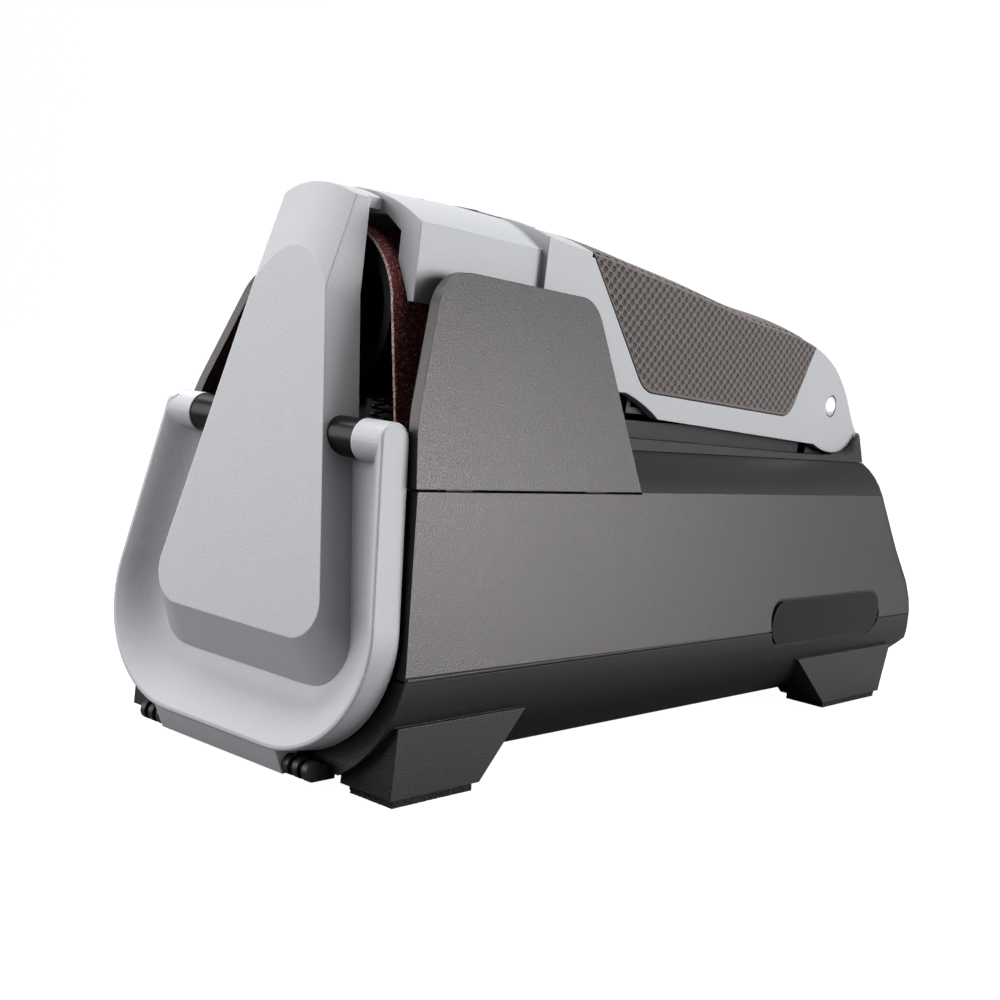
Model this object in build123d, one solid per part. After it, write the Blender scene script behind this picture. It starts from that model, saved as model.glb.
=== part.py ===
from build123d import *
import os
from math import atan2, cos, hypot, radians, sin, sqrt, tan

# Bench-top electric knife sharpener. Millimetres, +Z up, +X to the right hand of someone standing
# behind the machine, -Y towards the front where the blade goes in. The origin is on the bench,
# under the middle of the machine's box.

# ---------------------------------------------------------------- driving dimensions
# Overall
LENGTH = 304.0  # front lip to rear face
PARTING_Z = 31.8  # joint between base tray and upper housing
PARTING_HALF_WIDTH = 51.9
SHOULDER_Z = 75.9  # crease along the top of the housing's side
SHOULDER_HALF_WIDTH = PARTING_HALF_WIDTH - 6.9
DECK_Z = 87.0  # top of the sloping shoulder, where the deck sits
DECK_HALF_WIDTH = 34.0
SHOULDER_BULGE = 1.2  # the shoulder's crown over a straight slope
FRONT_LEAN = 5.8  # degrees, the front face leans back
LIP_Z = 9.4  # height of the front face's lower edge
SHELL_WALL = 2.4
SHELL_GAP = 0.4  # shadow gap between two shells
SEAT_GAP = 0.2  # between pieces that are fixed to each other
SEAM_GROOVE = (0.6, 0.8)  # height and depth of the groove round the top of the tray
SEAM_BEAD = (0.45, 0.9)  # proud of the housing's wall above the seam, and its height
MOVING_GAP = 0.6  # between pieces that move past each other
RUNNING_FIT = 0.05  # radial, shaft in bush

# Base tray and feet
TRAY_BOTTOM_Z = 5.5
TRAY_BILGE = (PARTING_HALF_WIDTH - 4.5, 17.2)  # x and z of a point half way round the tray's lower corner
TRAY_FLAT_HALF_WIDTH = 36.0
FOOT_OUTER_X = PARTING_HALF_WIDTH - 1.9
FOOT_INNER_X = FOOT_OUTER_X - 17.0
FOOT_TOP_Z = 19.8
FOOT_BOTTOM_Z = 2.2
FRONT_FOOT = (14.0, 46.5, 62.2)  # from the front: front face, bottom rear edge, top rear edge
# From the front: top and bottom of the foot's front, bottom and top of its rear
REAR_FOOT = (212.6, 236.3, 281.5, 286.5)
PAD_INSET = 1.6  # foam pad, inside the foot it is glued to

# Upper housing
# Rear face, upwards: height, how far it has moved forward, radius of its corner in plan
REAR_FOOT_LEVEL = (37.0, 0.2, 10.0)
REAR_KINK_LEVEL = (43.5, 2.6, 10.0)
REAR_WAIST_LEVEL = (56.0, 12.9, 8.5)
REAR_SHOULDER_INSET = 26.5  # at the shoulder and above it
REAR_SHOULDER_RADIUS = 6.0
REAR_DECK_RADIUS = 3.0
RIM_CORNER_RADIUS = 1.6
FRONT_GAP = 0.8  # guide's back to the housing's front edge
BAY_END = 79.0  # from the front: where the open bay ends and the deck begins

# Cheeks beside the knife slots
CHEEK_TOP_Z = 129.4
CHEEK_DRAFT = 11.7
CHEEK_WALL = 3.0
CHEEK_FOOT_FRONT = 16.5  # from the front, at the shoulder
CHEEK_KNEE = (18.0, 92.0)  # from the front, and height
CHEEK_TOP_FRONT = 30.2  # at the top, before rounding
CHEEK_TOP_REAR = 93.7
CHEEK_TOP_FALL = 1.0  # the top edge's fall to the rear
CHEEK_FOOT_REAR = 111.5
CHEEK_KNEE_RADIUS = 40.0
CHEEK_FRONT_RADIUS = 14.5
CHEEK_REAR_RADIUS = 9.0
CHEEK_TAB = (10.0, 12.0)  # width and depth of the tabs behind the housing's wall

# Side plates straddling the parting line
BADGE_Y = 228.0
BADGE_RISE = 2.2  # middle of the plate above the parting line
BADGE_LENGTH = 80.0
BADGE_HEIGHT = 14.6
BADGE_THICKNESS = 1.4
BADGE_GROOVE = 0.9  # shadow groove round the plate

# Front guide: panel, tower and lid, one moulding
GUIDE_DEPTH = 9.4
GUIDE_WALL = 2.4
GUIDE_TOP_Z = 86.0  # height of the rod axis, at the top of both ears
GUIDE_SIDE_X = 56.1  # half width of the sloping sides, carried down to the bench
GUIDE_SIDE_SLOPE = 0.1773  # loss of half width per millimetre of height
GUIDE_CORNER_RADIUS = 29.5
EAR_RADIUS = 5.2  # the ears touch the front face, so this is also their axis's depth
SIDE_TOP_ROUND = 3.2  # top of the side walls, front and back
EAR_INNER_X = 30.3
SIDE_WALL = 2.4  # side walls beside and above the ears
DISH_DEPTH = 7.8
# Dish inside the panel's rim: share of the depth, inset from the side, rise above the lip
DISH_STEPS = ((0.0, 1.2, 1.3), (0.1, 2.5, 3.0), (0.55, 6.6, 8.8), (0.88, 10.8, 13.2), (1.0, 15.0, 16.4))
GUIDE_EDGE_ROUND = 0.6
TOWER_PROUD = 0.7
TOWER_BASE_Z = 37.0
TOWER_BASE_HALF_WIDTH = 32.8
TOWER_KINK_Z = 122.0
TOWER_KINK_HALF_WIDTH = 13.2
TOWER_TOP_Z = 147.8
TOWER_TOP_HALF_WIDTH = 12.2
TOWER_TOP_FLARE = 1.2
TOWER_TOP_LEAN = 17.5
TOWER_CREST_Z = 131.0  # where the leaning face starts on the middle line
CREST_RADIUS = 46.0
TOWER_DEPTH = 10.0
TOWER_FLARE = 2.1  # each side at the kink, front face to back edge
TOWER_BASE_FLARE = 5.9  # and at the base, where the back edge also sits lower
TOWER_TOE = 13.5
TOWER_CORNER_RADIUS = 9.0
TOWER_TOP_REAR = 22.4
LID_END = 27.6  # from the front: back edge of the tower's lid
LID_BOTTOM_Z = 142.4
CROWN_RADIUS = 30.0
ROD_RADIUS = 4.9
SPIGOT_RADIUS = 2.8  # the rod's ends, inside the tower and the ear
SPIGOT_START = 17.0
HINGE_FRONT = 5.4  # hinge axis, from the front
HINGE_Z = 6.0
HINGE_BARREL_RADIUS = 2.6
HINGE_PIN_RADIUS = 1.4
LIP_HALF_WIDTH = 23.4
KNUCKLE_RIB = 1.7
KNUCKLE_PITCH = 3.3
KNUCKLE_RIBS = 3

# Belt and its rollers
BELT_FRONT = 24.6
BELT_WIDTH = 19.0
BELT_THICKNESS = 0.9
BELT_CLEARANCE = 0.3
TOP_PULLEY_Z = 116.5
TOP_PULLEY_RADIUS = 22.0
ROLLER_Z = 42.0
ROLLER_X = 26.0
ROLLER_RADIUS = 10.0
PULLEY_WALL = 2.5
AXLE_RADIUS = 3.0
BEARING_RADIUS = 8.0
BEARING_WIDTH = 5.0

# Belt frame and tension carriage
FRAME_PLATE = 2.4
FRAME_HALF_WIDTH = 36.5
FRAME_TOP_Z = 112.0
CARRIAGE_THICKNESS = 3.6
CARRIAGE_HALF_WIDTH = 9.0
CARRIAGE_TOP_Z = 125.0
CARRIAGE_BOTTOM_Z = 98.0
SPRING_RADIUS = 1.8
SPRING_WIRE = 0.4
SPRING_TURNS = 8
SPRING_SEAT_Z = 80.0

# Belt bay tub
BAY_HALF_WIDTH = SHOULDER_HALF_WIDTH - 6.0
BAY_WALL = 1.2
BAY_FLOOR_Z = 24.0
BAY_TOP_Z = 74.0

# Motor
MOTOR_RADIUS = 19.0
MOTOR_LENGTH = 62.0
MOTOR_WALL = 1.5
MOTOR_SHAFT_RADIUS = 2.5
MOTOR_BUSH_RADIUS = 6.0
MAGNET_THICKNESS = 4.0
ARMATURE_RADIUS = 12.0
ARMATURE_LENGTH = 34.0
COMMUTATOR_RADIUS = 6.0
COMMUTATOR_LENGTH = 10.0
FAN_RADIUS = 16.0
FAN_WIDTH = 7.0
FAN_BLADES = 9

# Top arm
NOSE_FRONT = 28.4  # from the front
NOSE_END = 77.0
NOSE_HALF_WIDTH = 26.0
NOSE_BOTTOM_Z = 120.4
ARM_HALF_WIDTH = 28.0
ARM_WALL = 3.2
ARM_TAIL = 279.5  # from the front
COVER_STATIONS = (88.6, 130.0, 237.0)  # from the front: start, step down, end
COVER_HEIGHTS = (97.6, 104.6)
COVER_THICKNESS = 2.0
PIVOT_FRONT = 255.1
PIVOT_Z = 106.8
PIVOT_RADIUS = 3.6
PIVOT_DOME = 1.1  # rise of the pin's domed ends
PIVOT_EAR_RADIUS = 7.2
PIVOT_COUNTERBORE = (0.5, 0.8)  # wider than the pin, and deep
EAR_PLATE = 5.0
CHANNEL_Z = 79.0  # floor of the deck's channels, which the arm's walls drop into
SPINE_TOP_Z = 95.5
RIM_TOP_Z = 98.0  # rim beside the arm, at its highest behind the tail
RIM_HALF_WIDTH = 30.6  # and outside to outside there
SILL_FRONT = 270.0  # from the front: sill that closes the deck behind the arm's tail
TAIL_SWEEP = 27.2  # radius about the pivot that the arm's tail never leaves
ARCH_HALF_WIDTH = 19.4
ARCH_TOP_Z = 141.6
ARCH_FOOT_HALF_WIDTH = 24.0
ARCH_REAR = 60.0  # from the front

# Grip
PAD_DEPTH = 1.6
PAD_PROUD = 0.2
GRIP_FRONT_TOP = 97.2  # from the front, along the top seam
GRIP_REAR_TOP = 237.5
GRIP_FRONT_FOOT = (131.2, 104.3)  # lower corners: from the front, and height
GRIP_REAR_FOOT = (223.9, 101.2)
GRIP_FRONT_RADIUS = 12.0
GRIP_REAR_RADIUS = 9.0
RIB_PITCH = 4.6
RIB_WIDTH = 2.6
RIB_HEIGHT = 0.8

# Controls
PANEL_HALF_WIDTH = 9.5
PANEL_FRONT = 66.0
PANEL_REAR = 95.0
PANEL_THICKNESS = 1.4
POWER_BUTTON_Y = 86.0
POWER_BUTTON_RADIUS = 5.5
PROGRAM_BUTTON_Y = 73.0
PROGRAM_BUTTON_RADIUS = 4.0
BUTTON_PROUD = 0.5
BUTTON_GAP = 0.35
BUTTON_BOTTOM_Z = 142.8
BUTTON_TRAVEL = 1.0
LENS_Y = 47.0
LENS_SPACING = 7.0
LENS_RADIUS = 1.1
ARM_BOARD_Z = 135.0
ARM_BOARD = (64.0, 108.0)  # from the front
ARM_BOARD_HALF_WIDTH = 15.0
SWITCH_SIZE = 6.0
BOARD_THICKNESS = 1.6

# Electronics in the housing
MAIN_BOARD = (62.0, 78.0)  # width and length
MAIN_BOARD_FRONT = 160.0
MAIN_BOARD_Z = 22.0
STANDOFF_RADIUS = 3.0
INLET_X = 26.0
INLET_Z = 47.0
INLET_FACE = 288.0  # from the front
INLET_RADIUS = 6.0
INLET_BORE = 2.9
INLET_LENGTH = 16.0
INLET_RECESS = (22.0, 19.0)

# Rear grille
GRILLE = (56.0, 15.0)
GRILLE_SLOTS = 9
GRILLE_THICKNESS = 2.0

# Case screws
SCREW_RADIUS = 1.5
SCREW_HEAD_RADIUS = 3.0
SCREW_HEAD = 2.0
SCREW_X = PARTING_HALF_WIDTH - 8.4
SCREW_STATIONS = (32.0, 252.0)
BOSS_RADIUS = 4.2


# ---------------------------------------------------------------- shared geometry
def back(distance):
    """Y of a place that lies this far behind the front lip."""
    return distance - LENGTH / 2


LEAN = tan(radians(FRONT_LEAN))
HULL_DRAFT = (PARTING_HALF_WIDTH - SHOULDER_HALF_WIDTH) / (SHOULDER_Z - PARTING_Z)
FRAME_FRONT = back(BELT_FRONT + BELT_WIDTH) + 2.0 + CARRIAGE_THICKNESS
MOTOR_FRONT = FRAME_FRONT + FRAME_PLATE + SEAT_GAP
GUIDE_PLANE = Plane(
    origin=(0, back(-LEAN * LIP_Z), 0),
    x_dir=(1, 0, 0),
    z_dir=(0, -cos(radians(FRONT_LEAN)), sin(radians(FRONT_LEAN))),
)


def front_at(z, depth=0.0):
    """Y of the leaning front face at a height, a depth behind it."""
    return back(LEAN * (z - LIP_Z)) + depth


def block(x, y, z):
    """Box between two corners: each argument is a low and a high value."""
    size = (x[1] - x[0], y[1] - y[0], z[1] - z[0])
    middle = ((x[0] + x[1]) / 2, (y[0] + y[1]) / 2, (z[0] + z[1]) / 2)
    return Pos(*middle) * Box(*size)


def rod_x(radius, x, y, z):
    """Cylinder along X."""
    return Pos((x[0] + x[1]) / 2, y, z) * Rot(0, 90, 0) * Cylinder(radius, x[1] - x[0])


def rod_y(radius, x, y, z):
    """Cylinder along Y."""
    return Pos(x, (y[0] + y[1]) / 2, z) * Rot(90, 0, 0) * Cylinder(radius, y[1] - y[0])


def rod_z(radius, x, y, z):
    """Cylinder along Z."""
    return Pos(x, y, (z[0] + z[1]) / 2) * Cylinder(radius, z[1] - z[0])


def prism_x(points, x):
    """Side-view outline of (y, z) points, pulled along X."""
    outline = Plane.YZ.offset(x[0]) * make_face(Polyline(*points, close=True))
    return extrude(outline, x[1] - x[0])


def prism_y(points, y):
    """Front-view outline of (x, z) points, pulled along Y."""
    outline = Plane.XZ.offset(-y[1]) * make_face(Polyline(*points, close=True))
    return extrude(outline, y[1] - y[0])


def both_sides(piece):
    """A right-hand piece and its mirror image."""
    return piece + mirror(piece, Plane.YZ)


def group(pieces):
    return Compound(children=[solid for piece in pieces for solid in piece.solids()])


# ---------------------------------------------------------------- base tray
def tray_section(inset):
    """Half section of the tray in front view, as a closed face over both halves."""
    top = PARTING_HALF_WIDTH - inset
    corner = (TRAY_BILGE[0] - inset, TRAY_BILGE[1] + inset * 0.8)
    flat = (TRAY_FLAT_HALF_WIDTH - inset, TRAY_BOTTOM_Z + inset)
    right = Polyline((top, PARTING_Z + inset), (top, PARTING_Z - SHELL_GAP))
    right += ThreePointArc((top, PARTING_Z - SHELL_GAP), corner, flat)
    left = mirror(right, Plane.YZ)
    bottom = Line(flat, (-flat[0], flat[1]))
    lid = Line((top, PARTING_Z + inset), (-top, PARTING_Z + inset))
    return make_face(Wire(right.edges() + left.edges() + bottom.edges() + lid.edges()))


def tray_body(inset):
    """The tray's outside, or its inside when inset, trimmed to the leaning front and round rear."""
    bulk = extrude(Plane.XZ.offset(-back(LENGTH)) * tray_section(inset), LENGTH)
    tail = LENGTH - inset
    low = TRAY_BOTTOM_Z + inset
    side = [
        (front_at(0, GUIDE_DEPTH + FRONT_GAP + inset), 0),
        (front_at(PARTING_Z + 9, GUIDE_DEPTH + FRONT_GAP + inset), PARTING_Z + 9),
        (back(tail), PARTING_Z + 9),
        (back(tail), 26.5),
        (back(tail - 3.5), 21.0 + inset / 2),
        (back(tail - 11.5), 17.4 + inset),
        (back(tail - 40.0), low + 3.5),
        (back(tail - 60.0), low),
        (back(tail - 60.0), 0),
    ]
    return trim_corners(bulk & prism_x(side, (-60, 60)), inset)


def foot(profile):
    """Foot block on the right, from its side outline."""
    return prism_x(profile, (FOOT_INNER_X, FOOT_OUTER_X))


def foot_outlines():
    front, front_toe, front_top = (back(v) for v in FRONT_FOOT)
    rear_top, rear_toe, rear_heel, rear_end = (back(v) for v in REAR_FOOT)
    fore = [
        (front, FOOT_BOTTOM_Z),
        (front_toe, FOOT_BOTTOM_Z),
        (front_top, FOOT_TOP_Z),
        (front, FOOT_TOP_Z),
    ]
    aft = [
        (rear_toe, FOOT_BOTTOM_Z),
        (rear_heel, FOOT_BOTTOM_Z),
        (rear_end, FOOT_TOP_Z),
        (rear_top, FOOT_TOP_Z),
    ]
    return fore, aft


def screw_places():
    return [(side * SCREW_X, back(station)) for station in SCREW_STATIONS for side in (-1, 1)]


def knuckle_span():
    """Low and high X of the hinge ribs on the right-hand side."""
    low = LIP_HALF_WIDTH + MOVING_GAP
    return low, low + KNUCKLE_PITCH * (KNUCKLE_RIBS - 1) + KNUCKLE_RIB


def knuckle():
    """Hinge ribs on the tray's front, right-hand side; the outermost closes the pin's hole."""
    low, high = knuckle_span()
    y = back(HINGE_FRONT)
    wall_y = front_at(LIP_Z, GUIDE_DEPTH + FRONT_GAP + SHELL_WALL)
    ribs = []
    for step in range(KNUCKLE_RIBS):
        x = (low + step * KNUCKLE_PITCH, low + step * KNUCKLE_PITCH + KNUCKLE_RIB)
        ribs.append(rod_x(HINGE_BARREL_RADIUS, x, y, HINGE_Z))
        ribs.append(block(x, (y, wall_y), (HINGE_Z - HINGE_BARREL_RADIUS, HINGE_Z + HINGE_PIN_RADIUS)))
    hole = rod_x(HINGE_PIN_RADIUS + 0.01, (low - 1, high - KNUCKLE_RIB / 2), y, HINGE_Z)
    return Part() + ribs - hole


def base_tray():
    tray = tray_body(0) - tray_body(SHELL_WALL)
    for outline in foot_outlines():
        block_foot = foot(outline)
        hollow = block((-60, 60), (back(0), back(LENGTH)), (FOOT_BOTTOM_Z + SHELL_WALL, 60))
        inner = tray_body(SHELL_WALL) & hollow
        tray += both_sides(block_foot - inner)
    tray += both_sides(knuckle())
    seam = block((-60, 60), (back(-5), back(LENGTH + 5)), (PARTING_Z - SEAM_GROOVE[0], PARTING_Z + 2))
    tray -= (seam & tray_body(0)) - tray_body(SEAM_GROOVE[1])
    whole = tray + tray_body(0)
    for outline in foot_outlines():
        whole += both_sides(foot(outline))
    for x, y in screw_places():
        tray += rod_z(BOSS_RADIUS, x, y, (TRAY_BOTTOM_Z, PARTING_Z - SHELL_GAP)) & whole
    for x, y in screw_places():
        tray -= rod_z(SCREW_RADIUS + 0.3, x, y, (0, PARTING_Z + 2))
        tray -= rod_z(SCREW_HEAD_RADIUS + 0.4, x, y, (0, TRAY_BOTTOM_Z + 8.0))
    for x, y in board_posts():
        tray += rod_z(STANDOFF_RADIUS, x, y, (TRAY_BOTTOM_Z + SHELL_WALL / 2, MAIN_BOARD_Z - SEAT_GAP))
    for station in range(92, 150, 8):
        tray -= block((-22, 22), (back(station), back(station) + 3.0), (0, TRAY_BOTTOM_Z + SHELL_WALL + 1))
    # the belt bay opens forward, above the tray's front wall
    tray -= block((-bay_opening(), bay_opening()), (back(-1), back(30)), (BAY_FLOOR_Z, PARTING_Z + 1))
    return tray - badge_pocket(1) - badge_pocket(-1)


def bay_opening():
    """Half width of the opening behind the front guide."""
    return BAY_HALF_WIDTH - BAY_WALL


def foot_pads():
    pads = []
    for outline in foot_outlines():
        y_low = min(y for y, z in outline if z == FOOT_BOTTOM_Z) + PAD_INSET
        y_high = max(y for y, z in outline if z == FOOT_BOTTOM_Z) - PAD_INSET
        x = (FOOT_INNER_X + PAD_INSET, FOOT_OUTER_X - PAD_INSET / 2)
        pad = block(x, (y_low, y_high), (0, FOOT_BOTTOM_Z))
        pads += [pad, mirror(pad, Plane.YZ)]
    return group(pads)


# ---------------------------------------------------------------- upper housing
def shoulder_point(share, inset=0.0):
    """X and Z of a point on the shoulder, from the crease (0) up to the deck (1)."""
    low = (SHOULDER_HALF_WIDTH - inset, SHOULDER_Z)
    high = (DECK_HALF_WIDTH - inset * 0.6, DECK_Z - inset)
    run = hypot(high[0] - low[0], high[1] - low[1])
    crown = 4 * SHOULDER_BULGE * share * (1 - share) / run
    x = low[0] + (high[0] - low[0]) * share + (high[1] - low[1]) * crown
    z = low[1] + (high[1] - low[1]) * share - (high[0] - low[0]) * crown
    return x, z


def housing_bulk(inset):
    low = (PARTING_HALF_WIDTH - inset, PARTING_Z - 0.01 if inset else PARTING_Z)
    crease, middle, top = (shoulder_point(share, inset) for share in (0, 0.5, 1))
    wall = Line(low, crease)
    shoulder = ThreePointArc(crease, middle, top)
    edges = wall.edges() + shoulder.edges()
    edges += mirror(wall, Plane.YZ).edges() + mirror(shoulder, Plane.YZ).edges()
    edges += Line(low, (-low[0], low[1])).edges() + Line(top, (-top[0], top[1])).edges()
    bulk = extrude(Plane.XZ.offset(-back(LENGTH)) * make_face(Wire(edges)), LENGTH)
    tail = LENGTH - inset
    side = [
        (front_at(PARTING_Z - 1, GUIDE_DEPTH + FRONT_GAP + inset), PARTING_Z - 1),
        (front_at(DECK_Z + 1, GUIDE_DEPTH + FRONT_GAP + inset), DECK_Z + 1),
        (back(tail - REAR_SHOULDER_INSET), DECK_Z + 1),
        (back(tail - REAR_SHOULDER_INSET), SHOULDER_Z),
    ]
    for z, forward, _ in (REAR_WAIST_LEVEL, REAR_KINK_LEVEL, REAR_FOOT_LEVEL):
        side.append((back(tail - forward), z))
    side.append((back(tail), PARTING_Z - 1))
    return bulk & prism_x(side, (-60, 60))


def rear_corners(inset):
    """Cutter that rounds the rear corners from the bench to the deck, following the walls' draft."""
    levels = [
        (TRAY_BOTTOM_Z - 3, PARTING_HALF_WIDTH, 0.0, REAR_FOOT_LEVEL[2]),
        (PARTING_Z, PARTING_HALF_WIDTH, 0.0, REAR_FOOT_LEVEL[2]),
    ]
    for z, forward, radius in (REAR_FOOT_LEVEL, REAR_KINK_LEVEL, REAR_WAIST_LEVEL):
        levels.append((z, PARTING_HALF_WIDTH - HULL_DRAFT * (z - PARTING_Z), forward, radius))
    for share in (0, 0.25, 0.5, 0.75, 1):
        half, z = shoulder_point(share)
        radius = REAR_SHOULDER_RADIUS + (REAR_DECK_RADIUS - REAR_SHOULDER_RADIUS) * share
        levels.append((z, half, REAR_SHOULDER_INSET, radius))
    levels.append((RIM_TOP_Z, RIM_HALF_WIDTH, REAR_SHOULDER_INSET, RIM_CORNER_RADIUS))
    faces = []
    for z, half, forward, outer_radius in levels:
        radius = max(outer_radius - inset, 0.5)
        x, y = half - inset, back(LENGTH - inset - forward)
        diagonal = radius * (1 - cos(radians(45)))
        bend = ThreePointArc((x, y - radius), (x - diagonal, y - diagonal), (x - radius, y))
        rest = Polyline((x - radius, y), (x - radius, y + 30), (x + 30, y + 30), (x + 30, y - radius),
                        (x, y - radius))
        faces.append(Plane.XY.offset(z) * make_face(Wire(bend.edges() + rest.edges())))
    return [loft([low, high], ruled=True) for low, high in zip(faces, faces[1:])]


def trim_corners(shell, inset):
    for cut in rear_corners(inset):
        shell -= cut
        shell -= mirror(cut, Plane.YZ)
    return shell


def cheek_x(z, inset=0.0):
    """Half width of the cheeks' outer face at a height."""
    return SHOULDER_HALF_WIDTH - tan(radians(CHEEK_DRAFT)) * (z - SHOULDER_Z) - inset


def grille_plane():
    low = (0, back(LENGTH - REAR_WAIST_LEVEL[1]), REAR_WAIST_LEVEL[0])
    high = (0, back(LENGTH - REAR_SHOULDER_INSET), SHOULDER_Z)
    slope = atan2(low[1] - high[1], high[2] - low[2])
    middle = (0, (low[1] + high[1]) / 2, (low[2] + high[2]) / 2)
    return Plane(origin=middle, x_dir=(-1, 0, 0), z_dir=(0, cos(slope), sin(slope)))


def inlet_recess(grow=0.0):
    x = (INLET_X - INLET_RECESS[0] / 2 - grow, INLET_X + INLET_RECESS[0] / 2 + grow)
    z = (INLET_Z - INLET_RECESS[1] / 2 - grow, INLET_Z + INLET_RECESS[1] / 2 + grow)
    return block(x, (back(INLET_FACE) - grow, back(LENGTH + 5)), z)


def seam_bead():
    """Bead on the right-hand wall, above the seam, that runs out towards the side plate."""
    faces = []
    for y, share in ((front_at(PARTING_Z, GUIDE_DEPTH + FRONT_GAP + 0.3), 1.0), (back(BADGE_Y - 45), 0.1)):
        proud, height = SEAM_BEAD[0] * share, SEAM_BEAD[1] * share
        outline = [
            (PARTING_HALF_WIDTH - 1.0, PARTING_Z),
            (PARTING_HALF_WIDTH + proud, PARTING_Z),
            (PARTING_HALF_WIDTH + proud, PARTING_Z + height / 2),
            (PARTING_HALF_WIDTH - HULL_DRAFT * height, PARTING_Z + height),
            (PARTING_HALF_WIDTH - 1.0, PARTING_Z + height),
        ]
        faces.append(Plane.XZ.offset(-y) * make_face(Polyline(*outline, close=True)))
    return loft(faces, ruled=True)


def upper_housing():
    outer = trim_corners(housing_bulk(0), 0)
    inner = trim_corners(housing_bulk(SHELL_WALL), SHELL_WALL)
    shell = outer - inner
    # the front bay is open above the shoulder, and the cheeks stand outside the shoulder
    shell -= block((-60, 60), (back(-1), back(BAY_END)), (SHOULDER_Z - SHELL_GAP, 140))
    shell -= block((-bay_opening(), bay_opening()), (back(-1), back(30)), (PARTING_Z - 1, 140))
    over = [
        (SHOULDER_HALF_WIDTH + 20, SHOULDER_Z - SHELL_GAP),
        (cheek_x(SHOULDER_Z, CHEEK_WALL + SHELL_GAP), SHOULDER_Z - SHELL_GAP),
        (cheek_x(DECK_Z + 4, CHEEK_WALL + SHELL_GAP), DECK_Z + 4),
        (SHOULDER_HALF_WIDTH + 20, DECK_Z + 4),
    ]
    rear_slope = (CHEEK_FOOT_REAR - CHEEK_TOP_REAR) / (CHEEK_TOP_Z - SHOULDER_Z)
    beside = [
        (back(-5), SHOULDER_Z - SHELL_GAP),
        (back(CHEEK_FOOT_REAR) + SHELL_GAP, SHOULDER_Z - SHELL_GAP),
        (back(CHEEK_FOOT_REAR - rear_slope * 20) + SHELL_GAP, SHOULDER_Z + 20),
        (back(-5), SHOULDER_Z + 20),
    ]
    shell -= both_sides(prism_y(over, (back(-5), back(LENGTH))) & prism_x(beside, (0, 80)))
    shell += both_sides(seam_bead())
    # room for the deck's channels and spine
    well = DECK_HALF_WIDTH - SHELL_WALL - SEAT_GAP
    well_end = back(LENGTH - REAR_SHOULDER_INSET - SHELL_WALL)
    shell -= block((-well, well), (back(0), well_end), (SHOULDER_Z, 140))
    for x, y in screw_places():
        shell += rod_z(BOSS_RADIUS, x, y, (PARTING_Z, 62.0)) & outer
        shell -= rod_z(SCREW_RADIUS + 0.05, x, y, (PARTING_Z - 1, 54.0))
    shell += inlet_recess(SHELL_WALL) & outer
    shell -= inlet_recess()
    shell -= rod_y(INLET_RADIUS + SEAT_GAP, INLET_X, (back(INLET_FACE - 6), back(LENGTH)), INLET_Z)
    shell -= grille_plane() * Box(GRILLE[0] + 0.6, GRILLE[1] + 0.6, 14)
    return shell - badge_pocket(1) - badge_pocket(-1)


def cheek(side):
    """Trapezoid cheek panel on a drafted plane, with two tabs inside the housing's wall."""
    low = SHOULDER_Z + SEAT_GAP
    corners = {
        (back(CHEEK_KNEE[0]), CHEEK_KNEE[1]): CHEEK_KNEE_RADIUS,
        (back(CHEEK_TOP_FRONT), CHEEK_TOP_Z): CHEEK_FRONT_RADIUS,
        (back(CHEEK_TOP_REAR), CHEEK_TOP_Z - CHEEK_TOP_FALL): CHEEK_REAR_RADIUS,
    }
    outline = [(back(CHEEK_FOOT_FRONT), low), *corners, (back(CHEEK_FOOT_REAR), low)]
    stock = prism_x(outline, (0, 60))
    for (y, z), radius in corners.items():
        edges = stock.edges().filter_by(Axis.X)
        stock = fillet(edges.sort_by_distance(Vector(30, y, z))[0], radius)
    slab = prism_y(
        [
            (cheek_x(low), low),
            (cheek_x(CHEEK_TOP_Z + 1), CHEEK_TOP_Z + 1),
            (cheek_x(CHEEK_TOP_Z + 1, CHEEK_WALL), CHEEK_TOP_Z + 1),
            (cheek_x(low, CHEEK_WALL), low),
        ],
        (back(0), back(LENGTH)),
    )
    panel = stock & slab
    tab_out = SHOULDER_HALF_WIDTH - SHELL_WALL - SEAT_GAP
    for station in (30.0, 88.0):
        y = (back(station), back(station + CHEEK_TAB[0]))
        panel += block((tab_out - 2.4, tab_out), y, (SHOULDER_Z - CHEEK_TAB[1], SHOULDER_Z + 2.2))
    return panel if side > 0 else mirror(panel, Plane.YZ)


# ---------------------------------------------------------------- side plates
def badge_outline(grow):
    return SlotOverall(BADGE_LENGTH + 2 * grow, BADGE_HEIGHT + 2 * grow)


def badge_solid(side, outer, inner, grow):
    """Pill-shaped stock on the side wall; outer and inner are distances inside the half width."""
    place = Plane(
        origin=(side * (PARTING_HALF_WIDTH - outer), back(BADGE_Y), PARTING_Z + BADGE_RISE),
        x_dir=(0, 1, 0),
        z_dir=(side, 0, 0),
    )
    return extrude(place * badge_outline(grow), -(inner - outer))


def badge_pocket(side):
    return badge_solid(side, -1.0, BADGE_THICKNESS + SEAT_GAP, BADGE_GROOVE)


def badge(side):
    return badge_solid(side, 0.3, BADGE_THICKNESS, 0.0)


# ---------------------------------------------------------------- rear deck
def deck_ledge():
    """Side view of the ledge beside the arm, with the cradle under the arm's tail."""
    base = DECK_Z + SEAT_GAP
    tail = LENGTH - REAR_SHOULDER_INSET
    crest = [(BAY_END, 91.2), (124.0, 90.6), (164.0, 90.1), (217.0, 89.2), (252.0, 88.9)]
    crest += [(258.0, 89.2), (263.0, 89.9), (268.0, 91.0), (272.0, 92.7), (275.0, 94.9), (tail, RIM_TOP_Z)]
    return [(back(y), z) for y, z in crest] + [(back(tail), base), (back(BAY_END), base)]


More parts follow.
